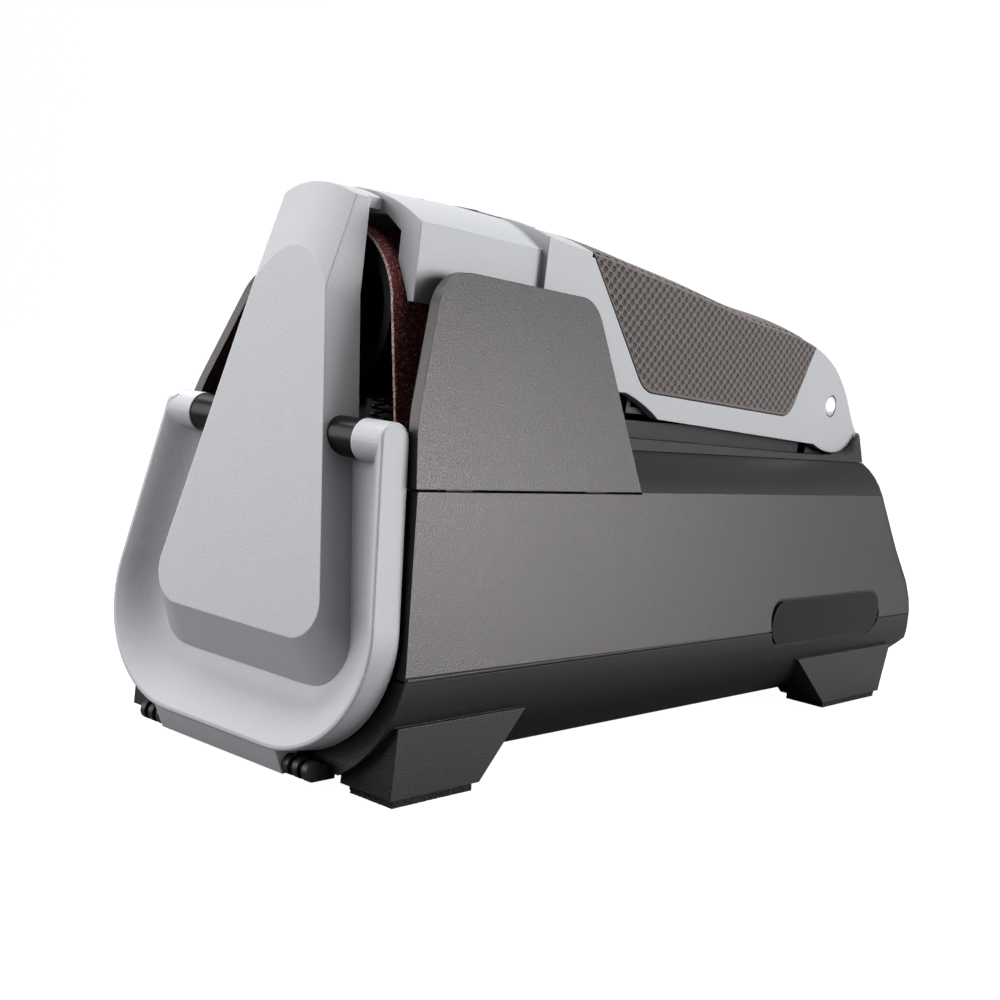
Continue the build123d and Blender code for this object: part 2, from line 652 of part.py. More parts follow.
def rear_deck():
    lip_inner = ARM_HALF_WIDTH + MOVING_GAP
    spine = ARM_HALF_WIDTH - ARM_WALL - MOVING_GAP - 0.2
    tail = LENGTH - REAR_SHOULDER_INSET
    floor = CHANNEL_Z - SHELL_WALL
    fairing = [
        (lip_inner, DECK_Z - 1),
        (DECK_HALF_WIDTH - SEAT_GAP, DECK_Z - 1),
        (DECK_HALF_WIDTH - SEAT_GAP, DECK_Z + SEAT_GAP),
        (RIM_HALF_WIDTH, RIM_TOP_Z),
        (lip_inner, RIM_TOP_Z),
    ]
    rim = both_sides(prism_x(deck_ledge(), (lip_inner, 60)) & prism_y(fairing, (back(0), back(LENGTH))))
    wall = DECK_HALF_WIDTH - SHELL_WALL - 2 * SEAT_GAP
    trough = [
        (back(BAY_END), floor),
        (back(tail - SHELL_WALL - SEAT_GAP), floor),
        (back(tail - SHELL_WALL - SEAT_GAP), DECK_Z + 1),
        (back(BAY_END), DECK_Z + 1),
    ]
    body = prism_x(trough, (-wall, wall)) + rim
    sill = block((-lip_inner, lip_inner), (back(SILL_FRONT), back(tail)), (DECK_Z + SEAT_GAP, 93.0))
    body += sill
    body -= both_sides(block((spine, lip_inner), (back(BAY_END - 1), back(SILL_FRONT)), (CHANNEL_Z, 120)))
    body -= block((-lip_inner, lip_inner), (back(PIVOT_FRONT - 14), back(SILL_FRONT)), (CHANNEL_Z, 120))
    body -= rod_x(TAIL_SWEEP, (-lip_inner, lip_inner), back(PIVOT_FRONT), PIVOT_Z)
    body += block((-spine, spine), (back(BAY_END), back(PIVOT_FRONT - 14)), (CHANNEL_Z, SPINE_TOP_Z))
    under_x, under_y = spine - SHELL_WALL, (back(BAY_END + SHELL_WALL), back(PIVOT_FRONT - 17))
    body -= block((-under_x, under_x), under_y, (floor - 1, SPINE_TOP_Z - SHELL_WALL))
    ear_x = (spine - EAR_PLATE, spine)
    stem = (back(PIVOT_FRONT - PIVOT_EAR_RADIUS - 1), back(PIVOT_FRONT + PIVOT_EAR_RADIUS - 2.4))
    ear = block(ear_x, stem, (CHANNEL_Z - 1, PIVOT_Z))
    ear += rod_x(PIVOT_EAR_RADIUS, ear_x, back(PIVOT_FRONT), PIVOT_Z)
    body += both_sides(ear)
    body -= rod_x(PIVOT_RADIUS + 0.02, (-60, 60), back(PIVOT_FRONT), PIVOT_Z)
    return trim_corners(body, 0)


def pivot_pin():
    """Pin with domed ends, turned about its own axis."""
    x, end = ARM_HALF_WIDTH - 0.1, ARM_HALF_WIDTH - 0.1 + PIVOT_DOME
    ball = (PIVOT_RADIUS**2 + PIVOT_DOME**2) / (2 * PIVOT_DOME)
    half = atan2(PIVOT_RADIUS, ball - PIVOT_DOME) / 2
    middle = (end - ball + ball * cos(half), ball * sin(half))
    dome = ThreePointArc((x, PIVOT_RADIUS), middle, (end, 0))
    side, axis = Line((-x, PIVOT_RADIUS), (x, PIVOT_RADIUS)), Line((-end, 0), (end, 0))
    edges = dome.edges() + mirror(dome, Plane.YZ).edges() + side.edges() + axis.edges()
    return Pos(0, back(PIVOT_FRONT), PIVOT_Z) * revolve(make_face(Wire(edges)), Axis.X)


# ---------------------------------------------------------------- top arm
# Stations along the arm: distance from the front, height of the side edge, height of the crown
NOSE_STATIONS = [(28.4, 140.1, 148.2), (50.0, 140.0, 148.9), (65.0, 139.8, 149.1), (77.2, 139.7, 148.9)]
ARM_STATIONS = [
    (77.0, 143.4, 148.9),
    (100.0, 141.7, 147.9),
    (127.0, 139.2, 145.5),
    (156.0, 136.3, 142.7),
    (195.0, 131.7, 138.2),
    (237.0, 127.2, 133.7),
    (248.0, 123.9, 129.6),
    (258.7, 118.3, 122.4),
    (269.0, 108.4, 111.2),
    (279.5, 97.6, 99.6),
]
ARM_STOCK_BOTTOM = 70.0


def arm_section(station, edge, crown, half, inset):
    x = half - inset
    floor = ARM_STOCK_BOTTOM
    top = ThreePointArc((x, edge - inset), (0, crown - inset), (-x, edge - inset))
    rest = Polyline((-x, edge - inset), (-x, floor), (x, floor), (x, edge - inset))
    return Plane.XZ.offset(-back(station)) * make_face(Wire(top.edges() + rest.edges()))


def arm_loft(stations, half, inset):
    return loft([arm_section(s, e, c, half, inset) for s, e, c in stations])


def lobe_arc():
    """Underside of the tail, from the straight lower edge round to the tail's corner."""
    return [(245.4, 92.5), (251.4, 90.8), (260.9, 89.9), (272.7, 92.1), (278.9, 97.2)]


def arm_side_outline():
    """Side view of the arm behind the nose: the lower edge follows the housing."""
    lobe = [(back(y), z) for y, z in lobe_arc()]
    knee = (back(129.5), 101.6)
    lower = Polyline((back(84), NOSE_BOTTOM_Z), (back(88), 103.7), (back(122), 103.7))
    lower += ThreePointArc((back(122), 103.7), knee, (back(141), 96.6))
    lower += Line((back(141), 96.6), lobe[0])
    lower += Spline(*lobe)
    rest = Polyline(lobe[-1], (back(ARM_TAIL), 98.0), (back(ARM_TAIL), 160), (back(NOSE_END), 160),
                    (back(NOSE_END), NOSE_BOTTOM_Z), (back(84), NOSE_BOTTOM_Z))
    return make_face(Wire(lower.edges() + rest.edges()))


def arm_outer():
    profile = extrude(Plane.YZ.offset(-40) * arm_side_outline(), 80)
    rear = arm_loft(ARM_STATIONS, ARM_HALF_WIDTH, 0) & profile
    nose = arm_loft(NOSE_STATIONS, NOSE_HALF_WIDTH, 0)
    nose &= block((-40, 40), (back(NOSE_FRONT), back(NOSE_END + SHELL_GAP)), (NOSE_BOTTOM_Z, 160))
    return rear, nose


def arm_inside():
    """Hollows in the arm: the long cavity, the arch over the belt, and the pocket for the board."""
    cavity = arm_loft(ARM_STATIONS, ARM_HALF_WIDTH, ARM_WALL)
    cavity &= block((-40, 40), (back(NOSE_END + ARM_WALL), back(ARM_TAIL - ARM_WALL)), (60, 160))
    arch = prism_y(
        [
            (ARCH_FOOT_HALF_WIDTH, NOSE_BOTTOM_Z - 5),
            (ARCH_FOOT_HALF_WIDTH, NOSE_BOTTOM_Z + 0.6),
            (ARCH_HALF_WIDTH, NOSE_BOTTOM_Z + 10),
            (ARCH_HALF_WIDTH, ARCH_TOP_Z - 4),
            (ARCH_HALF_WIDTH - 5.6, ARCH_TOP_Z),
            (-ARCH_HALF_WIDTH + 5.6, ARCH_TOP_Z),
            (-ARCH_HALF_WIDTH, ARCH_TOP_Z - 4),
            (-ARCH_HALF_WIDTH, NOSE_BOTTOM_Z + 10),
            (-ARCH_FOOT_HALF_WIDTH, NOSE_BOTTOM_Z + 0.6),
            (-ARCH_FOOT_HALF_WIDTH, NOSE_BOTTOM_Z - 5),
        ],
        (back(NOSE_FRONT - 2), back(ARCH_REAR)),
    )
    pocket = prism_y(
        [
            (ARCH_HALF_WIDTH, NOSE_BOTTOM_Z + ARM_WALL),
            (ARCH_HALF_WIDTH, ARCH_TOP_Z - 4),
            (ARCH_HALF_WIDTH - 5.6, ARCH_TOP_Z),
            (-ARCH_HALF_WIDTH + 5.6, ARCH_TOP_Z),
            (-ARCH_HALF_WIDTH, ARCH_TOP_Z - 4),
            (-ARCH_HALF_WIDTH, NOSE_BOTTOM_Z + ARM_WALL),
        ],
        (back(ARCH_REAR + ARM_WALL), back(NOSE_END + ARM_WALL + 0.1)),
    )
    return cavity, arch, pocket


def grip_outline(grow):
    """Side view of the grip pad on the arm's flank; its top edge runs over the flank's edge."""
    front_corner = (back(GRIP_FRONT_FOOT[0]) - grow, GRIP_FRONT_FOOT[1] - grow)
    rear_corner = (back(GRIP_REAR_FOOT[0]) + grow, GRIP_REAR_FOOT[1] - grow)
    points = [
        (back(GRIP_FRONT_TOP) - grow, 150.0),
        (back(GRIP_FRONT_TOP) - grow, 141.9),
        front_corner,
        rear_corner,
        (back(GRIP_REAR_TOP) + grow, 126.8),
        (back(GRIP_REAR_TOP) + grow, 150.0),
    ]
    stock = prism_x(points, (0, 40))
    for (y, z), radius in ((front_corner, GRIP_FRONT_RADIUS), (rear_corner, GRIP_REAR_RADIUS)):
        stock = fillet(stock.edges().filter_by(Axis.X).sort_by_distance(Vector(20, y, z))[0], radius + grow)
    return stock


def crown_layer(low, high):
    """Layer of the arm's crowned top between two heights above it."""
    upper = [(s, e + high, c + high) for s, e, c in ARM_STATIONS]
    lower = [(s, e + low, c + low) for s, e, c in ARM_STATIONS]
    layer = arm_loft(upper, ARM_HALF_WIDTH, 0) - arm_loft(lower, ARM_HALF_WIDTH + 1.0, 0)
    return layer & block((-40, 40), (back(GRIP_FRONT_TOP), back(GRIP_REAR_TOP)), (90, 160))


def grip_pad(side):
    x = (ARM_HALF_WIDTH - PAD_DEPTH + SEAT_GAP, ARM_HALF_WIDTH + PAD_PROUD)
    pad = grip_outline(-SEAT_GAP) & block(x, (back(0), back(LENGTH)), (90, 160))
    pad &= arm_loft(ARM_STATIONS, ARM_HALF_WIDTH + PAD_PROUD, 0)
    return pad if side > 0 else mirror(pad, Plane.YZ)


def grip_pad_top():
    """Ribbed rubber inlay: the ribs' tops are level with the arm's crown."""
    reach = ARM_HALF_WIDTH - PAD_DEPTH - SEAT_GAP
    y = (back(GRIP_FRONT_TOP) + SEAT_GAP, back(GRIP_REAR_TOP) - SEAT_GAP)
    pad = crown_layer(-PAD_DEPTH, -RIB_HEIGHT) & block((-reach, reach), y, (90, 160))
    ribs = crown_layer(-RIB_HEIGHT - 0.1, 0.0)
    count = int((GRIP_REAR_TOP - GRIP_FRONT_TOP - RIB_WIDTH) / RIB_PITCH)
    for step in range(count):
        start = back(GRIP_FRONT_TOP) + 1.6 + step * RIB_PITCH
        pad += ribs & block((-reach, reach), (start, start + RIB_WIDTH), (90, 160))
    return pad


def panel_stock(low, high, grow):
    """Slab that follows the arm's crown under the control panel."""
    top = [(s, e + high, c + high) for s, e, c in NOSE_STATIONS + ARM_STATIONS[1:3]]
    bottom = [(s, e + low, c + low) for s, e, c in NOSE_STATIONS + ARM_STATIONS[1:3]]
    half = PANEL_HALF_WIDTH + grow
    y = (back(PANEL_FRONT) - grow, back(PANEL_REAR) + grow)
    window = block((-half, half), y, (130, 160))
    window = fillet(window.edges().filter_by(Axis.Z), 3.0 + grow)
    upper = arm_loft(top, NOSE_HALF_WIDTH, 0) & window
    return upper - arm_loft(bottom, NOSE_HALF_WIDTH, 0)


def button_holes(grow):
    power = rod_z(POWER_BUTTON_RADIUS + grow, 0, back(POWER_BUTTON_Y), (130, 160))
    program = rod_z(PROGRAM_BUTTON_RADIUS + grow, 0, back(PROGRAM_BUTTON_Y), (130, 160))
    return power, program


def arm_shell():
    rear, nose = arm_outer()
    shell = rear + nose
    solid_arm = shell
    for hollow in arm_inside():
        shell -= hollow
    for x, y in arm_board_posts():
        shell += rod_z(2.0, x, y, (ARM_BOARD_Z + BOARD_THICKNESS, 150)) & solid_arm
    # seats of the three grip pads
    seat = grip_outline(0) & block((ARM_HALF_WIDTH - PAD_DEPTH, 40), (back(0), back(LENGTH)), (90, 160))
    shell -= both_sides(seat)
    shell -= crown_layer(-PAD_DEPTH - SEAT_GAP, 6.0)
    shell -= panel_stock(-PANEL_THICKNESS, 4.0, SEAT_GAP)
    for hole in button_holes(BUTTON_GAP):
        shell -= hole
    for x in (-LENS_SPACING, 0, LENS_SPACING):
        shell -= rod_z(LENS_RADIUS + 0.05, x, back(LENS_Y), (130, 160))
    shell -= rod_x(PIVOT_RADIUS + RUNNING_FIT, (-60, 60), back(PIVOT_FRONT), PIVOT_Z)
    wider, deep = PIVOT_COUNTERBORE
    counterbore = rod_x(PIVOT_RADIUS + wider, (ARM_HALF_WIDTH - deep, 40), back(PIVOT_FRONT), PIVOT_Z)
    return shell - both_sides(counterbore)


def arm_cover():
    """Stepped plate that closes the underside of the arm, clear of the deck's spine."""
    half = ARM_HALF_WIDTH - ARM_WALL - SEAT_GAP
    front, step, rear = (back(v) for v in COVER_STATIONS)
    low, high = COVER_HEIGHTS
    t = COVER_THICKNESS
    top = NOSE_BOTTOM_Z + ARM_WALL
    outline = [(front, high), (step - t, high), (step - t, low), (rear, low), (rear, low + t),
               (step, low + t), (step, high + t), (front + t, high + t), (front + t, top), (front, top)]
    plate = prism_x(outline, (-half, half))
    for station in (165.0, 200.0, 234.0):
        plate += block((-half, half), (back(station), back(station) + t), (low, low + 7.0))
    return plate


def control_panel():
    panel = panel_stock(-PANEL_THICKNESS + SEAT_GAP, 0.3, 0.0)
    for hole in button_holes(BUTTON_GAP):
        panel -= hole
    return panel


def button(radius, station):
    top = crown_height(station) + BUTTON_PROUD
    cap = rod_z(radius, 0, back(station), (BUTTON_BOTTOM_Z, top))
    return fillet(cap.edges().sort_by(Axis.Z)[-1], 0.5)


def crown_height(station):
    """Height of the arm's crown on its middle line."""
    points = NOSE_STATIONS + ARM_STATIONS[1:]
    for (y0, _, z0), (y1, _, z1) in zip(points, points[1:]):
        if y0 <= station <= y1:
            return z0 + (z1 - z0) * (station - y0) / (y1 - y0)
    raise ValueError("no crown at this station")


def indicator_lenses():
    lenses = []
    for x in (-LENS_SPACING, 0, LENS_SPACING):
        top = crown_height(LENS_Y) - abs(x) * 0.09
        lenses.append(rod_z(LENS_RADIUS, x, back(LENS_Y), (ARCH_TOP_Z + 0.4, top)))
    return group(lenses)


def arm_board_posts():
    y = (back(ARM_BOARD[0] + 3), back(ARM_BOARD[1] - 3))
    return [(side * (ARM_BOARD_HALF_WIDTH - 3), place) for side in (-1, 1) for place in y]


def control_board():
    x = (-ARM_BOARD_HALF_WIDTH, ARM_BOARD_HALF_WIDTH)
    return block(x, (back(ARM_BOARD[0]), back(ARM_BOARD[1])), (ARM_BOARD_Z, ARM_BOARD_Z + BOARD_THICKNESS))


def tact_switches():
    half = SWITCH_SIZE / 2
    z = (ARM_BOARD_Z + BOARD_THICKNESS, BUTTON_BOTTOM_Z - BUTTON_TRAVEL - 1.2)
    switches = []
    for station in (POWER_BUTTON_Y, PROGRAM_BUTTON_Y):
        y = back(station)
        body = block((-half, half), (y - half, y + half), z)
        switches.append(body + rod_z(1.7, 0, y, (z[1] - 0.1, z[1] + 1.0)))
    return group(switches)


# ---------------------------------------------------------------- front guide
def guide_half_width(z):
    return GUIDE_SIDE_X - GUIDE_SIDE_SLOPE * z


def rounded_trapezoid(low, high, half_low, half_high, radius):
    """Face on the guide's plane with two round lower corners."""
    run = hypot(half_low - half_high, high - low)
    ux, uz = (half_high - half_low) / run, (high - low) / run
    lean = atan2(half_low - half_high, high - low)
    reach = radius * tan((radians(90) + lean) / 2)
    side_start = (half_low + ux * reach, low + uz * reach)
    centre = (half_low - reach, low + radius)
    away = (half_low - centre[0], low - centre[1])
    size = hypot(*away)
    middle = (centre[0] + away[0] / size * radius, centre[1] + away[1] / size * radius)
    right = Line((half_high, high), side_start)
    bend = ThreePointArc(side_start, middle, (half_low - reach, low))
    bottom = Line((half_low - reach, low), (-half_low + reach, low))
    top = Line((-half_high, high), (half_high, high))
    edges = right.edges() + bend.edges() + bottom.edges()
    edges += mirror(bend, Plane.YZ).edges() + mirror(right, Plane.YZ).edges() + top.edges()
    return make_face(Wire(edges))


def guide_layer(face, depth):
    return GUIDE_PLANE.offset(-depth) * face


def panel_outline(inset, low, high):
    half_low, half_high = guide_half_width(low) - inset, guide_half_width(high) - inset
    return rounded_trapezoid(low, high, half_low, half_high, GUIDE_CORNER_RADIUS - inset)


def tower_faces(inset):
    """Front and back outlines of the lower tower."""
    base, kink = TOWER_BASE_HALF_WIDTH - inset, TOWER_KINK_HALF_WIDTH - inset
    low = TOWER_BASE_Z + inset
    front = rounded_trapezoid(low, TOWER_KINK_Z, base, kink, TOWER_CORNER_RADIUS)
    rear = rounded_trapezoid(low - TOWER_TOE, TOWER_KINK_Z, base + TOWER_BASE_FLARE, kink + TOWER_FLARE,
                             TOWER_CORNER_RADIUS + 1.5)
    return front, rear


def tower_upper(inset):
    """Upper tower, from the kink to above the crown, before its front is leaned back."""
    high = TOWER_TOP_Z + 2
    rear_depth = TOWER_DEPTH - TOWER_PROUD
    kink, top = TOWER_KINK_HALF_WIDTH - inset, TOWER_TOP_HALF_WIDTH - inset
    front = GUIDE_PLANE.offset(TOWER_PROUD - inset)
    rear = GUIDE_PLANE.offset(-rear_depth)
    lower = [(front * Pos(side * kink, TOWER_KINK_Z)).position for side in (-1, 1)]
    lower += [(rear * Pos(side * (kink + TOWER_FLARE), TOWER_KINK_Z)).position for side in (1, -1)]
    upper = [(front * Pos(side * top, high)).position for side in (-1, 1)]
    half = top + TOWER_TOP_FLARE
    upper += [Vector(side * half, back(TOWER_TOP_REAR), upper[0].Z) for side in (1, -1)]
    faces = [make_face(Polyline(*points, close=True)) for points in (lower, upper)]
    return loft(faces, ruled=True)


def before_crest(inset):
    """Everything in front of the upper tower's leaning, crowned face."""
    foot_y = front_at(TOWER_CREST_Z, inset - TOWER_PROUD)
    lean = radians(TOWER_TOP_LEAN)
    middle = Vector(0, foot_y + CREST_RADIUS * cos(lean), TOWER_CREST_Z - CREST_RADIUS * sin(lean))
    barrel = Pos(*middle) * Rot(-TOWER_TOP_LEAN, 0, 0) * Cylinder(CREST_RADIUS, 160)
    return block((-40, 40), (back(-20), back(60)), (TOWER_CREST_Z - 18, TOWER_TOP_Z + 20)) - barrel


def tower_lid():
    """Short roof from the tower's crown towards the arm."""
    half = TOWER_TOP_HALF_WIDTH
    return block((-half, half), (back(TOWER_TOP_REAR) - 1, back(LID_END)), (LID_BOTTOM_Z, TOWER_TOP_Z + 2))


def above_crown(drop):
    """Everything above the tower's crown."""
    y = (back(-5), back(60))
    barrel = rod_y(CROWN_RADIUS, 0, y, TOWER_TOP_Z - drop - CROWN_RADIUS)
    return block((-30, 30), y, (TOWER_TOP_Z - 22, TOWER_TOP_Z + 20)) - barrel


def guide_panel():
    """The dished panel, its side walls and the two ears, before the tower is added."""
    top = GUIDE_TOP_Z + EAR_RADIUS
    panel = extrude(guide_layer(panel_outline(0, LIP_Z, top), 0), -GUIDE_DEPTH)
    panel = fillet(panel.faces().sort_by(Axis.Z)[-1].edges().filter_by(Axis.X), SIDE_TOP_ROUND)
    front_edges = panel.faces().sort_by(Axis.Y)[0].edges()
    panel = fillet([e for e in front_edges if e.center().Z < GUIDE_TOP_Z], GUIDE_EDGE_ROUND)
    panel -= block((-EAR_INNER_X, EAR_INNER_X), (back(-20), back(60)), (GUIDE_TOP_Z - EAR_RADIUS, top + 20))
    layers = []
    for share, inset, rise in DISH_STEPS:
        layers.append(guide_layer(panel_outline(inset, LIP_Z + rise, top + 14), DISH_DEPTH * share - 0.01))
    panel -= loft(layers)
    wall = guide_half_width(top) - SIDE_WALL
    panel -= block((-wall, wall), (back(-20), back(60)), (GUIDE_TOP_Z, top + 20))
    ear = rod_x(EAR_RADIUS, (EAR_INNER_X, 60), ear_y(), GUIDE_TOP_Z)
    side = extrude(guide_layer(panel_outline(GUIDE_EDGE_ROUND, LIP_Z, top + 10), 0), -GUIDE_DEPTH)
    return panel + both_sides(ear & side)


def ear_y():
    """Y of the ears' and rods' common axis."""
    return front_at(GUIDE_TOP_Z, EAR_RADIUS)


def front_guide():
    panel = guide_panel()
    front, rear = tower_faces(0)
    deep = TOWER_DEPTH - TOWER_PROUD
    tower = loft([guide_layer(front, -TOWER_PROUD), guide_layer(rear, deep)], ruled=True)
    tower += tower_upper(0)
    tower += tower_lid()
    tower = tower - above_crown(0) - before_crest(0)
    core_front, core_rear = tower_faces(GUIDE_WALL)
    core_start = GUIDE_WALL - TOWER_PROUD
    core = loft([guide_layer(core_front, core_start), guide_layer(core_rear, deep)], ruled=True)
    core += extrude(guide_layer(core_rear, deep), -6)
    upper_core = tower_upper(GUIDE_WALL) - above_crown(GUIDE_WALL) - before_crest(GUIDE_WALL)
    body = panel + tower - core - upper_core
    # nothing of the tower reaches behind the panel below the ears
    behind = Pos(0, GUIDE_TOP_Z / 2 - 10, -10) * Box(200, GUIDE_TOP_Z, 20)
    body -= GUIDE_PLANE.offset(-GUIDE_DEPTH) * behind
    hinge_y = back(HINGE_FRONT)
    x = (-LIP_HALF_WIDTH, LIP_HALF_WIDTH)
    foot_z = HINGE_Z - HINGE_BARREL_RADIUS
    lip = [(back(0.3), LIP_Z + 0.5), (back(8.0), LIP_Z + 0.5), (hinge_y + 1.2, foot_z), (back(3.6), foot_z)]
    body += prism_x(lip, x) + rod_x(HINGE_BARREL_RADIUS, x, hinge_y, HINGE_Z)
    hole_x = (LIP_HALF_WIDTH - 8, LIP_HALF_WIDTH + 1)
    body -= both_sides(rod_x(HINGE_PIN_RADIUS + RUNNING_FIT, hole_x, hinge_y, HINGE_Z))
    bore = (-EAR_INNER_X - 3.0, EAR_INNER_X + 3.0)
    return body - rod_x(SPIGOT_RADIUS + 0.02, bore, ear_y(), GUIDE_TOP_Z)


def guide_rods():
    """Rod between the tower's side and each ear, with a spigot at both ends."""
    front, rear = tower_faces(-SEAT_GAP)
    deep = TOWER_DEPTH - TOWER_PROUD
    tower = loft([guide_layer(front, -TOWER_PROUD - SEAT_GAP), guide_layer(rear, deep)], ruled=True)
    tower += extrude(guide_layer(rear, deep), -8)
    rod = rod_x(ROD_RADIUS, (SPIGOT_START, EAR_INNER_X - SEAT_GAP / 2), ear_y(), GUIDE_TOP_Z) - tower
    rod += rod_x(SPIGOT_RADIUS, (SPIGOT_START, EAR_INNER_X + 2.8), ear_y(), GUIDE_TOP_Z)
    return group([rod, mirror(rod, Plane.YZ)])


def hinge_pins():
    x = (LIP_HALF_WIDTH - 7.5, knuckle_span()[1] - KNUCKLE_RIB / 2 - SEAT_GAP)
    pin = rod_x(HINGE_PIN_RADIUS, x, back(HINGE_FRONT), HINGE_Z)
    return group([pin, mirror(pin, Plane.YZ)])


# ---------------------------------------------------------------- belt and rollers
def belt_ring(grow):
    """Face of the loop round the three rollers, grown outwards; x and z in front view."""
    circles = [
        ((0.0, TOP_PULLEY_Z), TOP_PULLEY_RADIUS + grow),
        ((-ROLLER_X, ROLLER_Z), ROLLER_RADIUS + grow),
        ((ROLLER_X, ROLLER_Z), ROLLER_RADIUS + grow),
    ]
    normals = []
    for (c0, r0), (c1, r1) in zip(circles, circles[1:] + circles[:1]):
        dx, dz = c1[0] - c0[0], c1[1] - c0[1]
        span = hypot(dx, dz)
        along, across = (r0 - r1) / span, sqrt(1 - ((r0 - r1) / span) ** 2)
        # the loop is walked anticlockwise, so the outside lies to the right of each span
        nx = (dx * along + dz * across) / span
        nz = (dz * along - dx * across) / span
        normals.append((nx, nz))
    edges = []
    for i, (centre, radius) in enumerate(circles):
        before, after = normals[i - 1], normals[i]
        start = (centre[0] + before[0] * radius, centre[1] + before[1] * radius)
        end = (centre[0] + after[0] * radius, centre[1] + after[1] * radius)
        mean = (before[0] + after[0], before[1] + after[1])
        size = hypot(*mean)
        if i == 0:
            middle = (0.0, centre[1] + radius)
        else:
            middle = (centre[0] + mean[0] / size * radius, centre[1] + mean[1] / size * radius)
        edges += ThreePointArc(start, middle, end).edges()
        follow, reach = circles[(i + 1) % 3]
        edges += Line(end, (follow[0] + after[0] * reach, follow[1] + after[1] * reach)).edges()
    return make_face(Wire(edges))


def abrasive_belt():
    place = Plane.XZ.offset(-back(BELT_FRONT + BELT_WIDTH))
    outer = extrude(place * belt_ring(BELT_CLEARANCE + BELT_THICKNESS), BELT_WIDTH)
    return outer - extrude(place * belt_ring(BELT_CLEARANCE), BELT_WIDTH)


def wheel(x, z, radius, bore):
    """Flanged-looking roller: rim, web and hub."""
    y = (back(BELT_FRONT) + 0.5, back(BELT_FRONT + BELT_WIDTH) - 0.5)
    body = rod_y(radius, x, y, z)
    if radius > BEARING_RADIUS + 2 * PULLEY_WALL:
        for y_cut in ((y[0], y[0] + 6.0), (y[1] - 6.0, y[1])):
            hub = rod_y(BEARING_RADIUS + PULLEY_WALL, x, y_cut, z)
            body -= rod_y(radius - PULLEY_WALL, x, y_cut, z) - hub
    return body - rod_y(bore, x, (y[0] - 1, y[1] + 1), z)


def bearings(x, z, outer):
    y = (back(BELT_FRONT) + 1.2, back(BELT_FRONT + BELT_WIDTH) - 1.2)
    rings = []
    for low in (y[0], y[1] - BEARING_WIDTH):
        ring = rod_y(outer - 0.01, x, (low, low + BEARING_WIDTH), z)
        rings.append(ring - rod_y(AXLE_RADIUS + RUNNING_FIT, x, (low - 1, low + BEARING_WIDTH + 1), z))
    return group(rings)


def top_pulley():
    return wheel(0, TOP_PULLEY_Z, TOP_PULLEY_RADIUS, BEARING_RADIUS)


def idler_roller():
    return wheel(ROLLER_X, ROLLER_Z, ROLLER_RADIUS, BEARING_RADIUS - 1.0)


def drive_roller():
    return wheel(-ROLLER_X, ROLLER_Z, ROLLER_RADIUS, MOTOR_SHAFT_RADIUS + 0.01)


def axle(x, z, end):
    """Fixed axle with a head in front of its roller."""
    y = back(BELT_FRONT)
    return rod_y(AXLE_RADIUS, x, (y + 0.3, end), z) + rod_y(AXLE_RADIUS + 1.8, x, (y - 1.6, y + 0.3), z)


def top_axle():
    return axle(0, TOP_PULLEY_Z, FRAME_FRONT - SEAT_GAP)


def idler_axle():
    return axle(ROLLER_X, ROLLER_Z, FRAME_FRONT + FRAME_PLATE)


# ---------------------------------------------------------------- belt frame
def tension_carriage():
    y = (FRAME_FRONT - CARRIAGE_THICKNESS - SEAT_GAP, FRAME_FRONT - SEAT_GAP)
    plate = block((-CARRIAGE_HALF_WIDTH, CARRIAGE_HALF_WIDTH), y, (CARRIAGE_BOTTOM_Z, CARRIAGE_TOP_Z))
    return plate - rod_y(AXLE_RADIUS + 0.01, 0, (y[0] - 1, y[1] + 1), TOP_PULLEY_Z)


def belt_frame():
    y = (FRAME_FRONT, FRAME_FRONT + FRAME_PLATE)
    low = TRAY_BOTTOM_Z + SHELL_WALL
    neck = CARRIAGE_HALF_WIDTH + 6.0
    outline = [
        (-FRAME_HALF_WIDTH + 8, low),
        (FRAME_HALF_WIDTH - 8, low),
        (FRAME_HALF_WIDTH, low + 9),
        (FRAME_HALF_WIDTH, 62.0),
        (neck, 88.0),
        (neck, FRAME_TOP_Z),
        (-neck, FRAME_TOP_Z),
        (-neck, 88.0),
        (-FRAME_HALF_WIDTH, 62.0),
        (-FRAME_HALF_WIDTH, low + 9),
    ]
    frame = prism_y(outline, y)
    flange_x = (-FRAME_HALF_WIDTH + 9, FRAME_HALF_WIDTH - 9)
    flange = block(flange_x, (y[1] - 0.1, y[1] + 10), (low, low + FRAME_PLATE))
    frame += flange
    inner = CARRIAGE_HALF_WIDTH + 0.3
    rail_front = FRAME_FRONT - CARRIAGE_THICKNESS - SEAT_GAP - 0.3
    rail = block((inner, inner + 2.4), (rail_front, y[0] + 0.1), (92.0, FRAME_TOP_Z))
    frame += both_sides(rail)
    seat = block((-4, 4), (rail_front, y[0] + 0.1), (SPRING_SEAT_Z - 2.4, SPRING_SEAT_Z))
    frame += seat
    frame -= rod_y(MOTOR_BUSH_RADIUS + SEAT_GAP, -ROLLER_X, (y[0] - 1, y[1] + 1), ROLLER_Z)
    frame -= rod_y(AXLE_RADIUS + 0.01, ROLLER_X, (y[0] - 1, y[1] + 1), ROLLER_Z)
    for x, z in motor_screw_places():
        frame -= rod_y(SCREW_RADIUS + 0.2, x, (y[0] - 1, y[1] + 1), z)
    return frame


